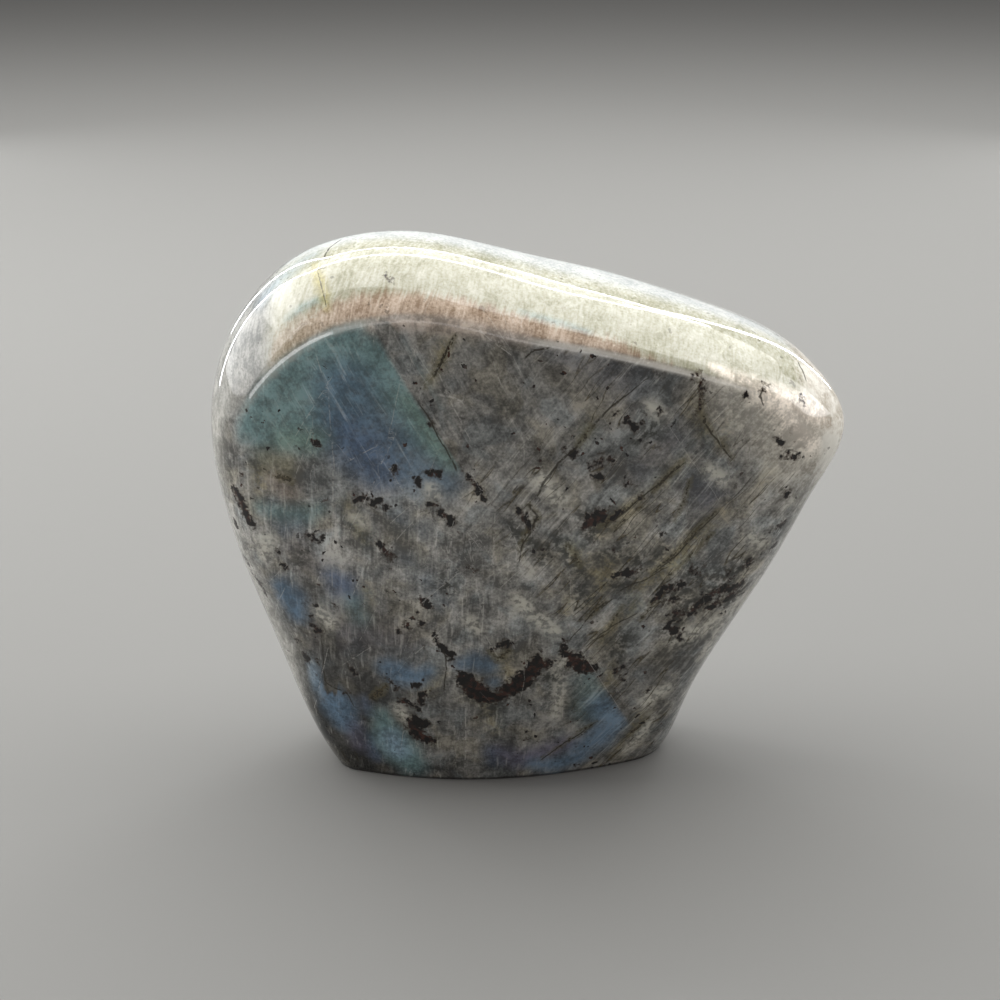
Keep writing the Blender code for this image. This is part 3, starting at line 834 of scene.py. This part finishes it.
def mark_skin(data, verts, normals, skin):
    """Work out every mark of the stone at its vertices."""
    def marks(front, back):
        return laid(skin, front, from_camera) + laid(skin, back, from_behind)

    def three(name, *columns):
        give(data, name, "FLOAT_VECTOR", np.stack(columns, axis=1))

    grains = marks(GRAINS_FRONT + dots(GRAIN_DOTS_FRONT), GRAINS_BACK + dots(GRAIN_DOTS_BACK))
    veins = marks(VEINS_FRONT, VEINS_BACK)
    smudges = soft_cover(verts, marks(SMUDGES_FRONT, SMUDGES_BACK), SMUDGE_SOFTNESS)
    pale = soft_cover(verts, marks(PALE_FRONT, PALE_BACK), PALE_SOFTNESS)
    stains = soft_cover(verts, marks(STAINS_FRONT, STAINS_BACK), STAIN_SOFTNESS)
    from_front = verts[:, 1] + face_depth(verts[:, 0], verts[:, 2], FRONT_FACE)
    from_back = face_depth(verts[:, 0], verts[:, 2], BACK_FACE) - verts[:, 1]
    # How far past the painted pinkish reflection beside the arris.
    pink_reflection_width = np.interp(verts[:, 0], *zip(*PINK_REFLECTION_ZONE))
    three("grain", nearest_edge(verts, grains), nearest_edge(verts, veins), smudges)
    three("rim", from_front, from_back, normals[:, 2])
    three("cloud", pale, stains, from_front - pink_reflection_width)

    scratches = marks(SCRATCHES_FRONT, SCRATCHES_BACK)
    for fields, line in ((FAINT_FRONT, from_camera), (FAINT_BACK, from_behind)):
        for field in fields:
            scratches += scattered(skin, line, *field)
    give(data, "crack", "FLOAT_VECTOR", hairlines(verts, normals, marks(CRACKS_FRONT, CRACKS_BACK)))
    give(data, "scratch", "FLOAT_VECTOR", hairlines(verts, normals, scratches))
    give(data, "fibre", "FLOAT_VECTOR", fibre_weights(verts, skin))
    give(data, "flash", "FLOAT_COLOR", flash_layers(verts, skin, from_front))


# ---------------------------------------------------------------------------------------------
# Material
# ---------------------------------------------------------------------------------------------

# Colours that follow a pattern: (value of the pattern, colour) from one end to the other.
FELDSPAR = (
    (0.40, (0.066, 0.065, 0.061)), (0.455, (0.118, 0.116, 0.109)), (0.50, (0.170, 0.168, 0.157)),
    (0.545, (0.235, 0.231, 0.216)), (0.61, (0.345, 0.338, 0.315)),
)
# A pinkish painted reflection beside the arris.
PINK_REFLECTION_BAND = ((0.40, (0.240, 0.165, 0.115)), (0.50, (0.380, 0.290, 0.220)), (0.60, (0.530, 0.425, 0.345)))
# The cream band, and the pale grey one behind it, are painted pale: partly the rim's own colour, partly
# painted light from above.
CREAM_BAND = (
    (0.36, (0.225, 0.220, 0.140)), (0.46, (0.325, 0.321, 0.238)), (0.54, (0.395, 0.391, 0.312)),
    (0.66, (0.500, 0.495, 0.430)),
)
REAR_BAND = ((0.40, (0.350, 0.372, 0.365)), (0.60, (0.520, 0.530, 0.508)))
LEFT_END_BAND = ((0.40, (0.150, 0.156, 0.148)), (0.50, (0.250, 0.252, 0.238)), (0.60, (0.360, 0.360, 0.340)))
FLANK_BAND = ((0.42, (0.180, 0.177, 0.158)), (0.50, (0.280, 0.276, 0.252)), (0.58, (0.400, 0.393, 0.362)))
# The pale tip, partly painted light.
TIP = ((0.42, (0.380, 0.345, 0.285)), (0.50, (0.540, 0.505, 0.440)), (0.58, (0.660, 0.640, 0.580)))
VEIN = ((0.42, (0.018, 0.014, 0.008)), (0.62, (0.080, 0.062, 0.030)))
GRAIN = ((0.46, (0.003, 0.002, 0.002)), (0.64, (0.040, 0.015, 0.010)))

# Tints, which multiply what they lie on, and single colours.
WARM_TINT = (1.00, 0.96, 0.87)
COOL_TINT = (0.91, 0.97, 1.02)
OLIVE_TINT = (0.82, 0.75, 0.52)
GREY_FIBRE = (0.055, 0.055, 0.052)
OLIVE_FIBRE = (0.045, 0.040, 0.028)
PALE_FIBRE = (0.120, 0.119, 0.110)
PALE_CLOUD = (0.520, 0.505, 0.440)
SMUDGE = (0.030, 0.031, 0.027)
VEIN_BORDER = (0.110, 0.096, 0.052)
GRAIN_BORDER = (0.034, 0.022, 0.014)
# A painted highlight along the arris.
ARRIS_HIGHLIGHT = (0.560, 0.535, 0.480)
# A painted contact shadow at the sawn base.
CONTACT_SHADOW = (0.020, 0.019, 0.018)
CRACK = (0.020, 0.016, 0.010)
SCRATCH = (0.460, 0.450, 0.420)

# A step is (from, to) in mm along, behind the middle or above the base. It goes from 0 to 1, or
# between the two values that follow.
# The four steps below are painted shade: darker at the foot, at the top, behind, where the lights are,
# and at the left.
FOOT_SHADE = (2.0, 48.0, 0.70, 1.32)        # the ground is darkest at the foot,
HEAD_SHADE = (46.0, 64.0, 1.0, 0.68)        # and darker again at the top,
BACK_SHADE = (2.0, 9.0, 1.0, 0.78)          # behind,
LEFT_SHADE = (-12.0, -26.0, 0.0, -0.50)     # and at the left, up to some height
LEFT_SHADE_TOP = (46.0, 30.0)
REAR_FROM = (10.0, 15.0)                    # the band behind the cream one, from the front face
LEFT_END_FROM = (-35.0, -39.0)                  # the greyer left end of the rim
TIP_FROM = (38.0, 42.0)                     # the pale tip, on the rim, partly painted light
TIP_ABOVE = (48.0, 57.0)
FACE_TIP_FROM = (29.0, 44.0, 0.0, 0.88)     # the pale tip, on the faces, partly painted light
FACE_TIP_ABOVE = (46.0, 62.0)
ROSY_REFLECTION_FROM = (-40.0, -24.0, 0.45, 0.92)      # the painted pinkish reflection is weaker on the left shoulder
RIM_BACK_SHADE = (4.5, 11.0, 1.0, 0.62)     # painted shade: the rim is darker behind, where the lights are
ARRIS_HIGHLIGHT_FAINT_FROM = (-27.0, -19.0)                # the painted arris highlight is faint between these
ARRIS_HIGHLIGHT_FAINT_TO = (4.0, -4.0)
CONTACT_SHADOW_BELOW = (0.80, 0.45, 0.0, 0.85)        # painted contact shadow on the bevel of the sawn base

COAT_ROUGHNESS = 0.055
COAT_IOR = 1.48
GRIT_DEPTH = 0.05


class Paint:
    """Short calls for the nodes of one material."""

    def __init__(self, name):
        self.material = bpy.data.materials.new(name)
        self.material.use_nodes = True
        self.tree = self.material.node_tree
        self.shader = self.tree.nodes["Principled BSDF"]

    def node(self, kind, inputs, **settings):
        """A node with its settings made and its inputs set or linked."""
        made = self.tree.nodes.new(kind)
        for key, value in settings.items():
            setattr(made, key, value)
        for key, value in inputs.items():
            self.feed(made.inputs[key], value)
        return made

    def feed(self, socket, value):
        """Link a socket to another one, or set it."""
        if isinstance(value, bpy.types.NodeSocket):
            self.tree.links.new(value, socket)
        elif socket.type == "RGBA" and len(value) == 3:
            socket.default_value = (*value, 1.0)
        else:
            socket.default_value = value

    def maths(self, operation, first, second=0.0):
        return self.node("ShaderNodeMath", {0: first, 1: second}, operation=operation).outputs[0]

    def times(self, first, second):
        return self.maths("MULTIPLY", first, second)

    def plus(self, first, second):
        return self.maths("ADD", first, second)

    def most(self, first, second):
        return self.maths("MAXIMUM", first, second)

    def opposite(self, value):
        return self.maths("SUBTRACT", 1.0, value)

    def between(self, value, low, high, start=0.0, end=1.0):
        """A smooth step from start at low to end at high."""
        return self.node("ShaderNodeMapRange", {"Value": value, "From Min": low, "From Max": high,
                                                "To Min": start, "To Max": end},
                         interpolation_type="SMOOTHSTEP").outputs[0]

    def blend(self, share, first, second, mode="MIX"):
        """Two colours mixed."""
        return self.node("ShaderNodeMix", {0: share, 6: first, 7: second}, data_type="RGBA",
                         blend_type=mode).outputs[2]

    def ramp(self, value, *stops):
        """A colour for each value, from (place, colour) stops."""
        made = self.node("ShaderNodeValToRGB", {"Fac": value})
        elements = made.color_ramp.elements
        while len(elements) < len(stops):
            elements.new(1.0)
        for element, (place, colour) in zip(elements, stops):
            element.position = place
            element.color = (*colour, 1.0)
        return made.outputs[0]

    def moved(self, vector, shift, amount):
        """Coordinates moved by a noise colour, by up to about half the amount each way."""
        shift = self.node("ShaderNodeVectorMath", {0: shift, 1: (0.5, 0.5, 0.5)}, operation="SUBTRACT")
        return self.node("ShaderNodeVectorMath", {0: shift.outputs[0], 1: (amount,) * 3, 2: vector},
                         operation="MULTIPLY_ADD").outputs[0]

    def around_zero(self, value, amount):
        """A noise value as a shift either way."""
        return self.times(self.maths("SUBTRACT", value, 0.5), amount)

    def parts(self, vector):
        return self.node("ShaderNodeSeparateXYZ", {0: vector}).outputs

    def stored(self, name):
        """The three numbers of a vector kept on the mesh."""
        found = self.node("ShaderNodeAttribute", {}, attribute_name=name)
        return self.parts(found.outputs["Vector"])

    def noise(self, vector, scale, detail=2.0, roughness=0.5):
        return self.node("ShaderNodeTexNoise", {"Vector": vector, "Scale": scale, "Detail": detail,
                                                "Roughness": roughness}).outputs[0]

    def turned(self, vector, degrees, scale, tilt=0.0):
        """Coordinates tilted about X, turned about Y and then scaled along each axis."""
        angles = (math.radians(tilt), math.radians(degrees), 0.0)
        turn = self.node("ShaderNodeMapping", {"Vector": vector, "Rotation": angles})
        return self.node("ShaderNodeMapping", {"Vector": turn.outputs[0], "Scale": scale}).outputs[0]


class StonePaint(Paint):
    """The stone's paint, with the patterns and stored values that its layers share."""

    def __init__(self):
        super().__init__("labradorite")
        metres = self.node("ShaderNodeTexCoord", {}).outputs["Object"]
        scaled = self.node("ShaderNodeVectorMath", {0: metres, 3: 1.0 / MM}, operation="SCALE")
        self.place = scaled.outputs[0]
        self.along, self.behind, self.height = self.parts(self.place)
        drift = self.node("ShaderNodeTexNoise", {"Vector": self.place, "Scale": 0.30, "Detail": 0.0})
        self.drift = drift.outputs["Color"]

        self.bent = self.drifting(3.0)
        self.broad = self.noise(self.bent, 0.10, 1.0, 0.5)
        self.warm = self.noise(self.bent, 0.16, 2.0, 0.6)
        self.cloud = self.noise(self.bent, 0.26, 3.0, 0.55)
        self.lumps = self.noise(self.place, 0.9, 1.0, 0.6)
        self.weave = self.noise(self.drifting(0.8), 1.0, 2.0, 0.65)
        self.fine = self.noise(self.place, 2.6, 1.0, 0.7)
        brushing = self.turned(self.drifting(0.8), 78.0, (0.22, 2.0, 2.0), 45.0)
        self.strokes = self.noise(brushing, 1.0, 1.0, 0.75)
        self.border = self.around_zero(self.strokes, 2.4)

        self.grain_gap, self.vein_gap, self.smudge = self.stored("grain")
        self.from_front, self.from_back, self.up = self.stored("rim")
        self.pale_cloud, self.stain, self.past_pink_reflection = self.stored("cloud")
        self.rules = self.stored("fibre")
        self.streaks, self.pale_threads, self.dark_threads = self.threads()
        self.wander = self.between(self.noise(self.place, 0.22, 1.0), 0.36, 0.60, 0.30, 1.0)

        tone = self.plus(self.times(self.cloud, 0.42), self.times(self.weave, 0.22))
        tone = self.plus(tone, self.plus(self.times(self.streaks, 0.18), self.times(self.fine, 0.18)))
        self.tone = self.plus(tone, self.around_zero(self.broad, 0.22))
        self.on_rim = self.times(self.between(self.from_front, 0.25, 0.75),
                                 self.between(self.from_back, 0.25, 0.75))
        # The flash also holds a painted reflection beside the arris and painted light at the tip.
        self.glow = self.node("ShaderNodeAttribute", {}, attribute_name="flash").outputs
        self.flash = self.times(self.glow["Alpha"], self.between(self.weave, 0.36, 0.56, 0.82, 1.0))

    def drifting(self, amount):
        """The place on the stone, bent to and fro by up to about half the amount."""
        return self.moved(self.place, self.drift, amount)

    def threads(self):
        """Streaks, pale threads and dark threads along three directions, each where it rules."""
        streaks = 0.0
        pale = 0.0
        dark = 0.0
        place = self.drifting(0.5)
        for number, turn in enumerate(FIBRE_TURNS):
            threads = self.noise(self.turned(place, turn, (0.05, 1.3, 1.3)), 1.0, 2.0, 0.80)
            rule = self.rules[number]
            streaks = self.plus(streaks, self.times(threads, rule))
            pale = self.plus(pale, self.times(self.between(threads, 0.56, 0.74), rule))
            dark = self.plus(dark, self.times(self.between(threads, 0.42, 0.28), rule))
        return streaks, pale, dark

    def hairline(self, name, breaks, waver):
        """Cover of the fine lines of one kind, thinned out here and there."""
        side, over, width = self.stored(name)
        gap = self.maths("ABSOLUTE", self.plus(side, waver))
        inside = self.between(self.maths("SUBTRACT", gap, width), 0.09, -0.05)
        ended = self.between(over, 0.5, -0.3)
        return self.times(self.times(inside, ended), breaks)

    def specks(self, rough, scale, few, size):
        """Small angular grains scattered at one pitch; the share of cells that hold one is few."""
        cells = self.node("ShaderNodeTexVoronoi", {"Vector": self.bent, "Scale": scale}, feature="F1")
        chance = self.parts(cells.outputs["Color"])[0]
        radius = self.between(chance, 1.0 - few, 1.0, 0.0, size * scale)
        gap = self.plus(self.maths("SUBTRACT", cells.outputs["Distance"], radius), rough)
        return self.times(self.between(gap, 0.05, -0.02), self.between(chance, 1.0 - few, 1.02 - few))


def feldspar(paint):
    """The grey ground, warmer and cooler in patches and stained olive, with painted shade that makes it
    darker at the foot, the top, behind and at the left.
    """
    skin = paint.ramp(paint.tone, *FELDSPAR)
    skin = paint.blend(paint.between(paint.warm, 0.50, 0.64), skin, WARM_TINT, "MULTIPLY")
    skin = paint.blend(paint.between(paint.warm, 0.48, 0.38), skin, COOL_TINT, "MULTIPLY")
    stained = paint.times(paint.stain, paint.between(paint.weave, 0.38, 0.56, 0.35, 1.00))
    skin = paint.blend(stained, skin, OLIVE_TINT, "MULTIPLY")
    # Painted shade at the foot, the top, behind and at the left.
    left = paint.times(paint.between(paint.along, *LEFT_SHADE),
                       paint.between(paint.height, *LEFT_SHADE_TOP))
    shade = paint.plus(paint.between(paint.height, *FOOT_SHADE), left)
    shade = paint.times(shade, paint.between(paint.height, *HEAD_SHADE))
    shade = paint.times(shade, paint.between(paint.behind, *BACK_SHADE))
    return paint.blend(1.0, skin, shade, "MULTIPLY")


def dark_fibres(paint, skin):
    """Grey threads, more olive where the fibres rise to the right."""
    shade = paint.blend(paint.rules[1], GREY_FIBRE, OLIVE_FIBRE)
    return paint.blend(paint.times(paint.times(paint.dark_threads, paint.wander), 0.42), skin, shade)


def rim_band(paint, crown):
    """Colours of the rim: cream and, behind it, pale grey, both partly painted light from above; grey at
    the left; a pinkish painted reflection by the arris; pale at the tip, partly painted light.
    """
    brushed = paint.plus(paint.times(paint.strokes, 0.36),
                         paint.plus(paint.times(paint.fine, 0.26), paint.times(paint.cloud, 0.38)))
    rear = paint.between(paint.plus(paint.from_front, paint.border), *REAR_FROM)
    band = paint.blend(rear, paint.ramp(brushed, *CREAM_BAND), paint.ramp(brushed, *REAR_BAND))
    band = paint.blend(paint.between(paint.along, *LEFT_END_FROM), band, paint.ramp(brushed, *LEFT_END_BAND))
    band = paint.blend(crown, paint.ramp(paint.tone, *FLANK_BAND), band)
    # The pale tip, partly painted light.
    near_tip = paint.times(paint.between(paint.plus(paint.along, paint.border), *TIP_FROM),
                           paint.between(paint.height, *TIP_ABOVE))
    band = paint.blend(near_tip, band, paint.ramp(paint.tone, *TIP))
    # Painted reflection: the pinkish strip beside the arris.
    rosy_reflection = paint.between(paint.plus(paint.past_pink_reflection, paint.border), 0.75, -0.75, 0.0,
                         paint.between(paint.along, *ROSY_REFLECTION_FROM))
    band = paint.blend(paint.times(crown, rosy_reflection), band, paint.ramp(brushed, *PINK_REFLECTION_BAND))
    # Painted shade: the rim is darker behind.
    return paint.blend(1.0, band, paint.between(paint.behind, *RIM_BACK_SHADE), "MULTIPLY")


def rim(paint, skin):
    """The rim, painted paler where it faces up, partly its own colour and partly painted light from
    above, and the pale face at the tip, partly painted light.
    """
    # Painted light: the rim is painted paler where it faces up.
    crown = paint.between(paint.up, 0.02, 0.40)
    # The pale tip of the faces, partly painted light.
    face_tip = paint.times(paint.between(paint.plus(paint.along, paint.border), *FACE_TIP_FROM),
                           paint.between(paint.height, *FACE_TIP_ABOVE))
    skin = paint.blend(face_tip, skin, paint.ramp(paint.tone, *TIP))
    sides = paint.times(paint.between(paint.from_front, 0.3, 3.0),
                        paint.between(paint.from_back, 0.3, 5.0))
    cover = paint.plus(paint.times(paint.on_rim, crown), paint.times(sides, paint.opposite(crown)))
    return paint.blend(paint.times(cover, 0.90), skin, rim_band(paint, crown))


def edges(paint, skin):
    """A painted highlight along the arris at the top of the front face, faint in the middle, and a
    painted contact shadow along the bevel of the sawn base.
    """
    # Painted highlight along the arris, where it faces up, faint in the middle stretch.
    arris = paint.times(paint.between(paint.from_front, 0.02, 0.22),
                        paint.between(paint.from_front, 0.62, 0.30))
    faint_highlight = paint.times(paint.between(paint.along, *ARRIS_HIGHLIGHT_FAINT_FROM),
                         paint.between(paint.along, *ARRIS_HIGHLIGHT_FAINT_TO))
    arris = paint.times(arris, paint.between(faint_highlight, 0.0, 1.0, 0.60, 0.06))
    skin = paint.blend(paint.times(arris, paint.between(paint.up, 0.0, 0.25)), skin, ARRIS_HIGHLIGHT)
    # Painted contact shadow along the bevel of the sawn base.
    return paint.blend(paint.between(paint.height, *CONTACT_SHADOW_BELOW), skin, CONTACT_SHADOW)


def flashes(paint, skin):
    """Blue, teal and violet under the polish, with pale threads over them; the flash colours also hold a
    painted reflection by the arris and painted light at the tip.
    """
    light = paint.between(paint.tone, 0.40, 0.60, 0.62, 1.24)
    skin = paint.blend(paint.flash, skin, paint.blend(1.0, paint.glow["Color"], light, "MULTIPLY"))
    return paint.blend(paint.times(paint.pale_threads, paint.wander), skin, PALE_FIBRE, "ADD")


def clouds(paint, skin):
    """Pale clouds and grey-green smudges, broken up by the weave of the feldspar."""
    pale = paint.times(paint.pale_cloud, paint.between(paint.weave, 0.38, 0.58, 0.25, 0.90))
    skin = paint.blend(pale, skin, PALE_CLOUD)
    dark = paint.times(paint.smudge, paint.between(paint.weave, 0.62, 0.42, 0.25, 0.90))
    return paint.blend(dark, skin, SMUDGE)


def fine_net(paint):
    """Cover of a net of fine veins on the faces, where the fibres rise to the right."""
    ridge = paint.noise(paint.turned(paint.drifting(0.4), 51.0, (0.045, 0.42, 0.5)), 1.0, 1.0, 0.6)
    net = paint.between(paint.maths("ABSOLUTE", paint.maths("SUBTRACT", ridge, 0.5)), 0.016, 0.004)
    net = paint.times(net, paint.times(paint.between(paint.rules[1], 0.35, 0.80),
                                       paint.between(paint.warm, 0.42, 0.52)))
    on_face = paint.most(paint.between(paint.from_front, 0.25, 0.05),
                         paint.between(paint.from_back, 0.25, 0.05))
    return paint.times(paint.times(net, on_face), paint.opposite(paint.flash))


def veins(paint, skin):
    """Veins with an olive border, and the net of fine ones."""
    ragged = paint.plus(paint.around_zero(paint.weave, 1.1), paint.around_zero(paint.fine, 0.6))
    gap = paint.plus(paint.vein_gap, ragged)
    skin = paint.blend(paint.between(gap, 0.60, -0.05, 0.0, 0.48), skin, VEIN_BORDER)
    cover = paint.most(paint.between(gap, -0.06, -0.26), fine_net(paint))
    return paint.blend(paint.times(cover, 0.82), skin, paint.ramp(paint.fine, *VEIN))


def grains(paint, skin):
    """Black grains with brown rims, and specks scattered near them; also how black the skin is."""
    where = paint.most(paint.between(paint.broad, 0.42, 0.56),
                       paint.between(paint.grain_gap, 2.4, 0.5))
    where = paint.times(where, paint.opposite(paint.times(paint.on_rim, 0.55)))
    speck = paint.times(paint.specks(paint.around_zero(paint.fine, 0.55), 0.95, 0.20, 0.34), where)
    ragged = paint.plus(paint.around_zero(paint.lumps, 2.6), paint.around_zero(paint.fine, 1.1))
    gap = paint.plus(paint.grain_gap, ragged)
    black = paint.most(paint.between(gap, 0.10, -0.12), speck)
    skin = paint.blend(paint.times(paint.between(gap, 0.50, 0.02), 0.70), skin, GRAIN_BORDER)
    return paint.blend(paint.times(black, 0.97), skin, paint.ramp(paint.lumps, *GRAIN)), black


def fine_lines(paint, skin):
    """Dark cracks and pale scratches."""
    crack = paint.hairline("crack", paint.between(paint.weave, 0.34, 0.44),
                           paint.around_zero(paint.cloud, 1.2))
    skin = paint.blend(paint.times(crack, 0.85), skin, CRACK)
    scratch = paint.hairline("scratch", paint.between(paint.weave, 0.40, 0.52),
                             paint.around_zero(paint.cloud, 0.4))
    return paint.blend(paint.times(scratch, 0.55), skin, SCRATCH)


def polish(paint, black):
    """A clear, smooth coat over a duller body with fine grit; the black grains are the dullest."""
    gloss = paint.between(paint.fine, 0.30, 0.70, 0.36, 0.52)
    paint.feed(paint.shader.inputs["Roughness"], paint.most(gloss, paint.times(black, 0.6)))
    paint.feed(paint.shader.inputs["Metallic"], paint.times(paint.flash, 0.12))
    paint.shader.inputs["Specular IOR Level"].default_value = 0.0
    paint.shader.inputs["Coat Weight"].default_value = 1.0
    paint.shader.inputs["Coat Roughness"].default_value = COAT_ROUGHNESS
    paint.shader.inputs["Coat IOR"].default_value = COAT_IOR
    grit = paint.noise(paint.place, 6.0, 0.0, 0.5)
    bump = paint.node("ShaderNodeBump", {"Height": grit, "Strength": 0.06, "Distance": GRIT_DEPTH * MM})
    paint.feed(paint.shader.inputs["Normal"], bump.outputs[0])


def labradorite():
    """Grey feldspar with blue flash, black grains and olive veins under a high polish."""
    paint = StonePaint()
    skin = feldspar(paint)
    for layer in (dark_fibres, rim, edges, flashes, clouds, veins):
        skin = layer(paint, skin)
    skin, black = grains(paint, skin)
    paint.feed(paint.shader.inputs["Base Color"], fine_lines(paint, skin))
    polish(paint, black)
    return paint.material


# ---------------------------------------------------------------------------------------------
# The stone
# ---------------------------------------------------------------------------------------------


def stone():
    """A sphere moved to the polished surface, sawn off at the base and marked."""
    mesh = bmesh.new()
    bmesh.ops.create_uvsphere(mesh, u_segments=STEPS_PER_ROW * len(OUTLINE), v_segments=RINGS,
                              radius=1.0, matrix=Matrix.Rotation(math.radians(90.0), 4, "X"))
    bmesh.ops.subdivide_edges(mesh, edges=mesh.edges, cuts=CUTS, use_grid_fill=True)
    sphere = np.array([vert.co[:] for vert in mesh.verts])
    for vert, place in zip(mesh.verts, stone_surface(sphere)):
        vert.co = place
    saw_base(mesh)
    bmesh.ops.recalc_face_normals(mesh, faces=mesh.faces)
    mesh.normal_update()
    skin = BVHTree.FromBMesh(mesh)
    verts = np.array([vert.co[:] for vert in mesh.verts])
    normals = np.array([vert.normal[:] for vert in mesh.verts])
    bmesh.ops.scale(mesh, vec=(MM, MM, MM), verts=mesh.verts)
    data = bpy.data.meshes.new("polished_stone")
    mesh.to_mesh(data)
    mesh.free()
    mark_skin(data, verts, normals, skin)
    data.materials.append(labradorite())
    data.shade_smooth()
    data.set_sharp_from_angle(angle=math.radians(SHARP_ANGLE))
    piece = bpy.data.objects.new("polished_stone", data)
    bpy.context.scene.collection.objects.link(piece)
    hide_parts(STONE)
    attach(piece, "root")


# ---------------------------------------------------------------------------------------------
# Floor, light and camera
# ---------------------------------------------------------------------------------------------

FLOOR_SIZE = 8000.0
FLOOR_COLOUR = (0.170, 0.170, 0.165)

ROOM_FRONT = (0.25, 0.225, 0.205)
ROOM_BEHIND = (0.55, 0.57, 0.60)
ROOM_TURN = (-0.25, 0.6)        # from front to behind, as the Y of a direction

AIM = (0.0, 0.0, 60.0)          # the lights face a point in the upper half of the stone

# A panel is (place, point it faces, across, along, radiance, colour, roll in degrees).
OVERHEAD = ((-250.0, 210.0, 640.0), (-250.0, 210.0, 0.0), 2100.0, 640.0, 3.75, (1.0, 0.99, 0.965), 5.0)
FRONT_STRIP = ((0.0, -800.0, 470.0), AIM, 1800.0, 150.0, 1.6)
LEFT_WALL = ((-700.0, 60.0, 300.0), AIM, 720.0, 560.0, 3.0)
RIGHT_WALL = ((700.0, 20.0, 300.0), AIM, 500.0, 420.0, 3.7)

# A tube is (thickness, radiance, points that it is bent from one to the next).
FAR_TUBE = (20.0, 22.0, ((-330.0, 500.0, 0.0), (-330.0, 500.0, 560.0), (330.0, 500.0, 560.0),
                         (330.0, 500.0, 0.0)))
NEAR_TUBE = (18.0, 20.0, ((-385.0, 250.0, 0.0), (-385.0, 250.0, 505.0), (60.0, 250.0, 505.0),
                          (220.0, 310.0, 505.0), (370.0, 480.0, 505.0)))
LEFT_FRONT_TUBE = (60.0, 7.0, ((-650.0, -280.0, 10.0), (-411.0, -532.0, 320.0)))

CLIP_NEAR = 10.0
CLIP_FAR = 20000.0


def floor():
    """A plain pale floor that runs out of sight."""
    mesh = bmesh.new()
    bmesh.ops.create_grid(mesh, x_segments=1, y_segments=1, size=FLOOR_SIZE / 2 * MM)
    data = bpy.data.meshes.new("floor")
    mesh.to_mesh(data)
    mesh.free()
    paint = Paint("pale_floor")
    paint.shader.inputs["Base Color"].default_value = (*FLOOR_COLOUR, 1.0)
    paint.shader.inputs["Roughness"].default_value = 0.8
    paint.shader.inputs["Specular IOR Level"].default_value = 0.0
    data.materials.append(paint.material)
    sheet = bpy.data.objects.new("floor", data)
    bpy.context.scene.collection.objects.link(sheet)


def area_light(name, place, turn, across, along, radiance, colour=(1.0, 1.0, 1.0)):
    """A flat light, across by along mm, that shines with a given radiance."""
    light = bpy.data.lights.new(name, "AREA")
    light.shape = "RECTANGLE"
    light.size = across * MM
    light.size_y = along * MM
    light.energy = radiance * math.pi * light.size * light.size_y
    light.color = colour
    holder = bpy.data.objects.new(name, light)
    holder.matrix_world = Matrix.LocRotScale(place * MM, turn, None)
    bpy.context.scene.collection.objects.link(holder)


def panel(name, place, aim, across, along, radiance, colour=(1.0, 1.0, 1.0), roll=0.0):
    """A flat light that faces a point."""
    way = (Vector(aim) - Vector(place)).normalized()
    turn = way.to_track_quat("-Z", "Y").to_matrix() @ Matrix.Rotation(math.radians(roll), 3, "Z")
    area_light(name, Vector(place), turn, across, along, radiance, colour)


def tube(name, thickness, radiance, points):
    """A tube light made of straight pieces, each turned to shine towards the stone."""
    for number, (start, end) in enumerate(runs([Vector(point) for point in points])):
        middle = 0.5 * (start + end)
        way = (middle - Vector(AIM)).normalized()
        along = (end - start).normalized()
        up = way.cross(along).normalized()
        turn = Matrix((along, up, along.cross(up))).transposed()
        area_light(f"{name}_{number}", middle, turn, (end - start).length, thickness, radiance)


def lights():
    """A soft panel overhead, thin tubes behind, walls of light at the sides and a weak fill in front."""
    panel("overhead", *OVERHEAD)
    tube("far_tube", *FAR_TUBE)
    tube("near_tube", *NEAR_TUBE)
    panel("front_strip", *FRONT_STRIP)
    tube("left_front_tube", *LEFT_FRONT_TUBE)
    panel("left_wall", *LEFT_WALL)
    panel("right_wall", *RIGHT_WALL)


def surroundings():
    """A dim, faintly warm room in front and a brighter, cooler one behind."""
    world = bpy.data.worlds.new("studio")
    world.use_nodes = True
    tree = world.node_tree
    way = tree.nodes.new("ShaderNodeTexCoord").outputs["Generated"]
    split = tree.nodes.new("ShaderNodeSeparateXYZ")
    tree.links.new(way, split.inputs[0])
    ramp = tree.nodes.new("ShaderNodeMapRange")
    ramp.interpolation_type = "SMOOTHSTEP"
    ramp.inputs["From Min"].default_value = ROOM_TURN[0]
    ramp.inputs["From Max"].default_value = ROOM_TURN[1]
    tree.links.new(split.outputs["Y"], ramp.inputs["Value"])
    mix = tree.nodes.new("ShaderNodeMix")
    mix.data_type = "RGBA"
    mix.inputs[6].default_value = (*ROOM_FRONT, 1.0)
    mix.inputs[7].default_value = (*ROOM_BEHIND, 1.0)
    tree.links.new(ramp.outputs[0], mix.inputs[0])
    tree.links.new(mix.outputs[2], tree.nodes["Background"].inputs["Color"])
    bpy.context.scene.world = world


def camera():
    """In front of the stone and above it, looking down onto the front face."""
    view = bpy.data.cameras.new("camera")
    view.sensor_width = SENSOR
    view.lens = LENS
    view.clip_start = CLIP_NEAR * MM
    view.clip_end = CLIP_FAR * MM
    holder = bpy.data.objects.new("camera", view)
    holder.location = Vector(CAMERA_PLACE) * MM
    holder.rotation_euler = (math.radians(90.0 - CAMERA_TILT), 0.0, 0.0)
    bpy.context.scene.collection.objects.link(holder)
    bpy.context.scene.camera = holder


bpy.context.scene.view_settings.view_transform = "Standard"
bpy.context.scene.cycles.caustics_reflective = False
bpy.context.scene.cycles.caustics_refractive = False
stone()
floor()
lights()
surroundings()
camera()
